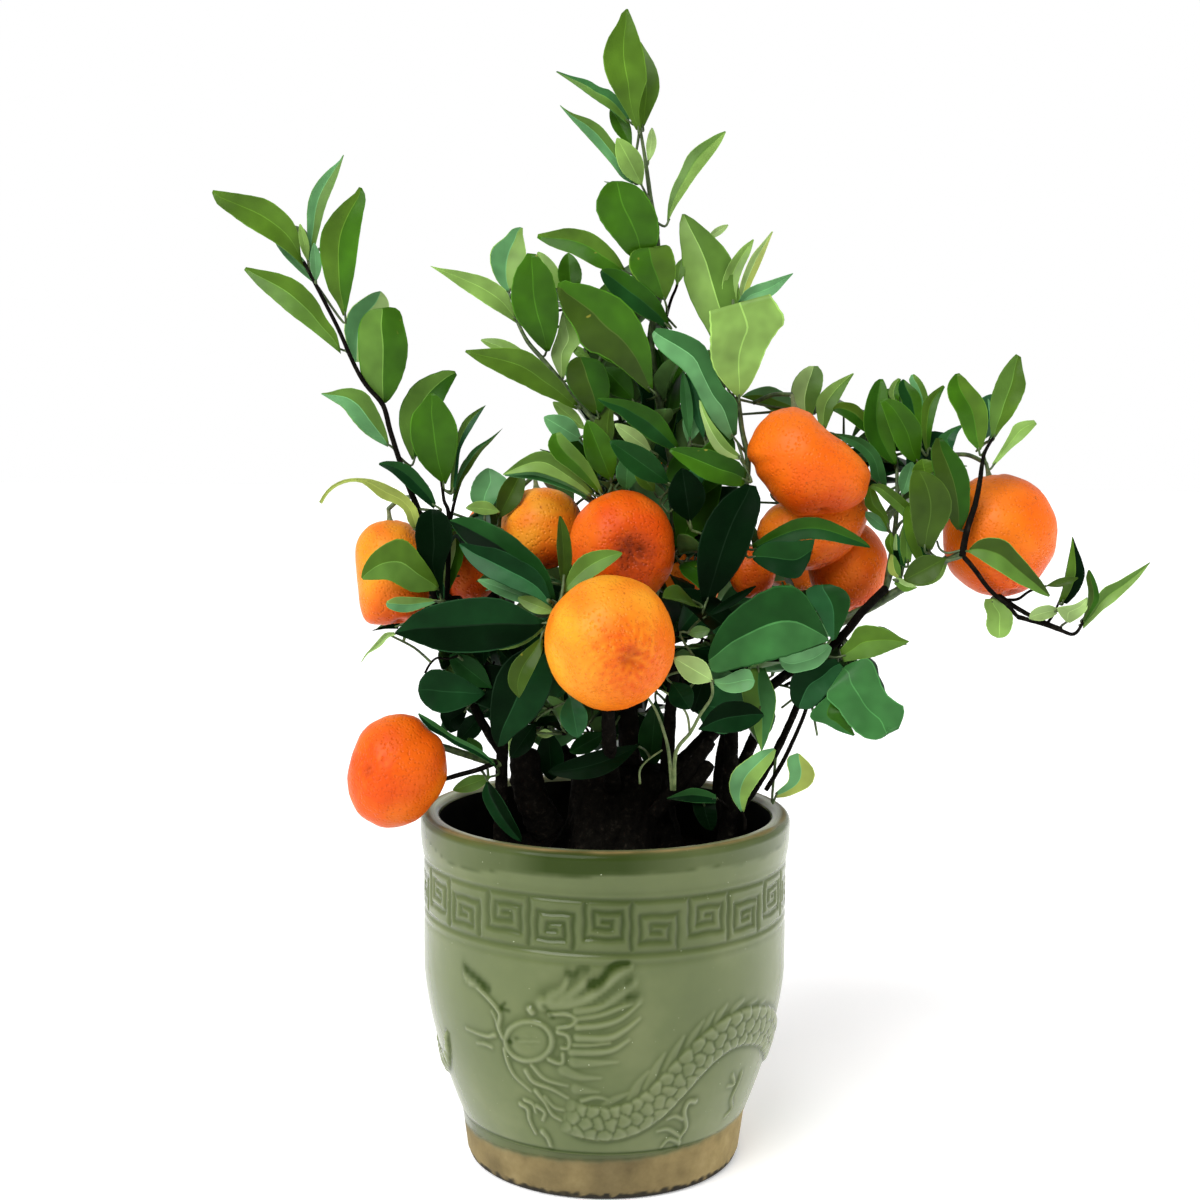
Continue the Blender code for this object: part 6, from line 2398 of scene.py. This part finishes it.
def build_lip():
    """The rounded rim, pale on its inner half with painted reflection and brown along its edge, and the inside of
    the pot.
    """
    outer = outer_radius(POT_HEIGHT)
    rim = arc(outer - LIP_ROUNDING, POT_HEIGHT - LIP_ROUNDING, LIP_ROUNDING, 0, 90, 10)
    rim += [(OPENING_RADIUS + 0.0055, POT_HEIGHT), (OPENING_RADIUS + 0.0042, POT_HEIGHT)]
    rim += arc(OPENING_RADIUS + 0.003, POT_HEIGHT - 0.003, 0.003, 90, 180, 8)
    rings = len(rim)
    vertices = lathe(rim, LIP_SIDES)
    ring = np.arange(len(vertices)) // LIP_SIDES
    rounds = np.arctan2(vertices[:, 0], -vertices[:, 1]) * WALL_RADIUS
    uneven = np.array([noise.noise(Vector(spot) * 55) for spot in vertices])
    edge = np.exp(-(((ring - 9) / 2.2) ** 2))
    dark = by_angle(rounds, RIM_POOL_DARK, 1.0)
    # The inner curve down into the pot is darkened unevenly
    marks = {"pool": np.clip(dark * step_up(9.0 - ring, 1.0) + 0.35 * edge, 0, 1),
             "bare": np.clip(edge * (0.75 + 0.8 * uneven), 0, 0.8),
             "pale_glaze_and_sheen": by_angle(rounds, LIP_PAINTED_REFLECTION, 1.0) * step_up(ring - 9.5, 0.8),
             "stain_and_shade": np.clip(1.2 * uneven + 0.1, 0, 0.6) * step_up(ring - (rings - 7.0), 1.0)}
    piece = Piece("pot_lip")
    piece.add(vertices, grid_faces(rings, LIP_SIDES, wrap=True), STONEWARE)
    inside = [rim[-1]]
    for height in (0.178, 0.165, 0.150, BELLY_TOP, 0.075, 0.045, FOOT_TOP, FLOOR_THICKNESS):
        inside.append((min(OPENING_RADIUS, belly_radius(height) - WALL_THICKNESS), height))
    inside.append((0.0, FLOOR_THICKNESS))
    piece.add(lathe(inside, LIP_SIDES), grid_faces(len(inside), LIP_SIDES, wrap=True), INSIDE_GLAZE)
    made = piece.build("glazed_stoneware", "pot")
    rest = np.zeros(len(inside) * LIP_SIDES)
    add_marks(made, {key: np.concatenate([values, rest]) for key, values in marks.items()})


def build_pot():
    build_wall()
    build_foot()
    build_lip()


def build_soil():
    """A crumbly surface inside the pot."""
    sides, rings = 150, 44
    vertices = []
    for ring in range(rings + 1):
        radius = SOIL_RADIUS * ring / rings
        for side in range(sides):
            angle = 2 * math.pi * side / sides
            spot = Vector((radius * math.cos(angle), radius * math.sin(angle), 0))
            bumps = 0.0022 * noise.fractal(spot * 130, 1.0, 2.0, 4)
            edge = -0.003 * max(0.0, (radius - SOIL_RADIUS + 0.01) / 0.01)
            vertices.append(spot + Vector((0, 0, SOIL_TOP - 0.001 + bumps + edge)))
    piece = Piece("soil_surface")
    piece.add(vertices, grid_faces(rings + 1, sides, wrap=True), SOIL)
    piece.build("potting_soil", "soil")


def build_fruit():
    """All the fruit, each on a stalk from the nearest twig."""
    piece = Piece("fruit")
    marks = {"dimple": [], "blush_and_shade": [], "yellow": []}
    for number, ball in enumerate(BALLS):
        stalk_end = add_fruit(piece, ball, number, marks)
        node = nearest_nodes(stalk_end, 1)[0][0]
        path = smooth_path([stalk_end, stalk_end.lerp(node, 0.5) + Vector((0, 0, 0.002)), node], 5)
        add_tube(TWIG_PIECES[nearest_mass(stalk_end)], path, [0.0012] * len(path), 8, GREEN_BARK)
    made = piece.build("foliage")
    add_marks(made, marks)


FLOOR_GLOW = 0.26


def build_floor():
    size = 6.0
    mesh = bpy.data.meshes.new("floor")
    corners = [(-size, -size, 0), (size, -size, 0), (size, size, 0), (-size, size, 0)]
    mesh.from_pydata(corners, [], [(0, 1, 2, 3)])
    made = new_material("floor", (0.93, 0.93, 0.93), 0.9)
    shader_of(made).inputs["Emission Color"].default_value = (1.0, 1.0, 1.0, 1.0)
    shader_of(made).inputs["Emission Strength"].default_value = FLOOR_GLOW
    mesh.materials.append(made)
    floor = bpy.data.objects.new("floor", mesh)
    bpy.context.scene.collection.objects.link(floor)


def add_area_light(name, place, aim, size, power):
    light = bpy.data.lights.new(name, "AREA")
    light.shape = "DISK"
    light.size = size
    light.energy = power
    obj = bpy.data.objects.new(name, light)
    obj.location = place
    obj.rotation_euler = (Vector(aim) - Vector(place)).to_track_quat("-Z", "Y").to_euler()
    obj.visible_glossy = False
    bpy.context.scene.collection.objects.link(obj)


AMBIENT_FRONT, AMBIENT_BACK = 0.15, 0.80


def build_world():
    """White to the camera, and to the plant a soft room, brighter behind it than before it."""
    world = bpy.data.worlds.new("studio")
    world.use_nodes = True
    nodes, links = world.node_tree.nodes, world.node_tree.links
    place = nodes.new("ShaderNodeTexCoord")
    parts = nodes.new("ShaderNodeSeparateXYZ")
    links.new(place.outputs["Generated"], parts.inputs[0])
    ambient = nodes.new("ShaderNodeMapRange")
    ambient.inputs["From Min"].default_value = -1.0
    ambient.inputs["From Max"].default_value = 1.0
    ambient.inputs["To Min"].default_value = AMBIENT_FRONT
    ambient.inputs["To Max"].default_value = AMBIENT_BACK
    links.new(parts.outputs["Y"], ambient.inputs["Value"])
    path = nodes.new("ShaderNodeLightPath")
    strength = nodes.new("ShaderNodeMix")
    links.new(path.outputs["Is Camera Ray"], strength.inputs["Factor"])
    links.new(ambient.outputs["Result"], strength.inputs["A"])
    strength.inputs["B"].default_value = 1.0
    background = nodes["Background"]
    background.inputs["Color"].default_value = (1.0, 1.0, 1.0, 1.0)
    links.new(strength.outputs["Result"], background.inputs["Strength"])
    bpy.context.scene.world = world


def build_lights():
    """A big soft sun from the upper left, and a weak light from each side."""
    sun = bpy.data.lights.new("key_sun", "SUN")
    sun.energy = 3.2
    sun.angle = math.radians(45)
    obj = bpy.data.objects.new("key_sun", sun)
    obj.rotation_euler = Vector((0.48, 0.78, -0.80)).to_track_quat("-Z", "Y").to_euler()
    bpy.context.scene.collection.objects.link(obj)
    add_area_light("right_light", (1.3, 0.15, 0.15), (0.0, 0.0, 0.12), 0.9, 14)
    add_area_light("left_light", (-1.2, -0.1, 0.12), (0.0, 0.0, 0.12), 0.8, 5)
    bpy.context.scene.view_settings.view_transform = "Standard"


def build_camera():
    camera = bpy.data.cameras.new("photo_camera")
    camera.sensor_width = SENSOR_MM
    camera.lens = FOCAL_PIXELS / PHOTO_SIZE * SENSOR_MM
    camera.clip_start = 0.01
    obj = bpy.data.objects.new("photo_camera", camera)
    turn = [[RIGHT[axis], UP[axis], -FORWARD[axis]] for axis in range(3)]
    obj.matrix_world = Matrix.Translation(EYE) @ Matrix(turn).to_4x4()
    bpy.context.scene.collection.objects.link(obj)
    bpy.context.scene.camera = obj


build_camera()
build_world()
build_lights()
build_floor()
build_pot()
build_soil()
build_trunk()
build_limbs("limb_bark", LIMBS, BARK, "bark")
build_limbs("green_limb_bark", GREEN_LIMBS, GREEN_BARK, "green_bark")
mark_fruit()
mark_dense_parts()
place_posed()
grow_crown()
fill_dense_parts()
build_fruit()
for mass in MASS_NAMES:
    if LEAF_PIECES[mass].count:
        LEAF_PIECES[mass].build("foliage", mass)
    if TWIG_PIECES[mass].count:
        TWIG_PIECES[mass].build("green_bark", mass)
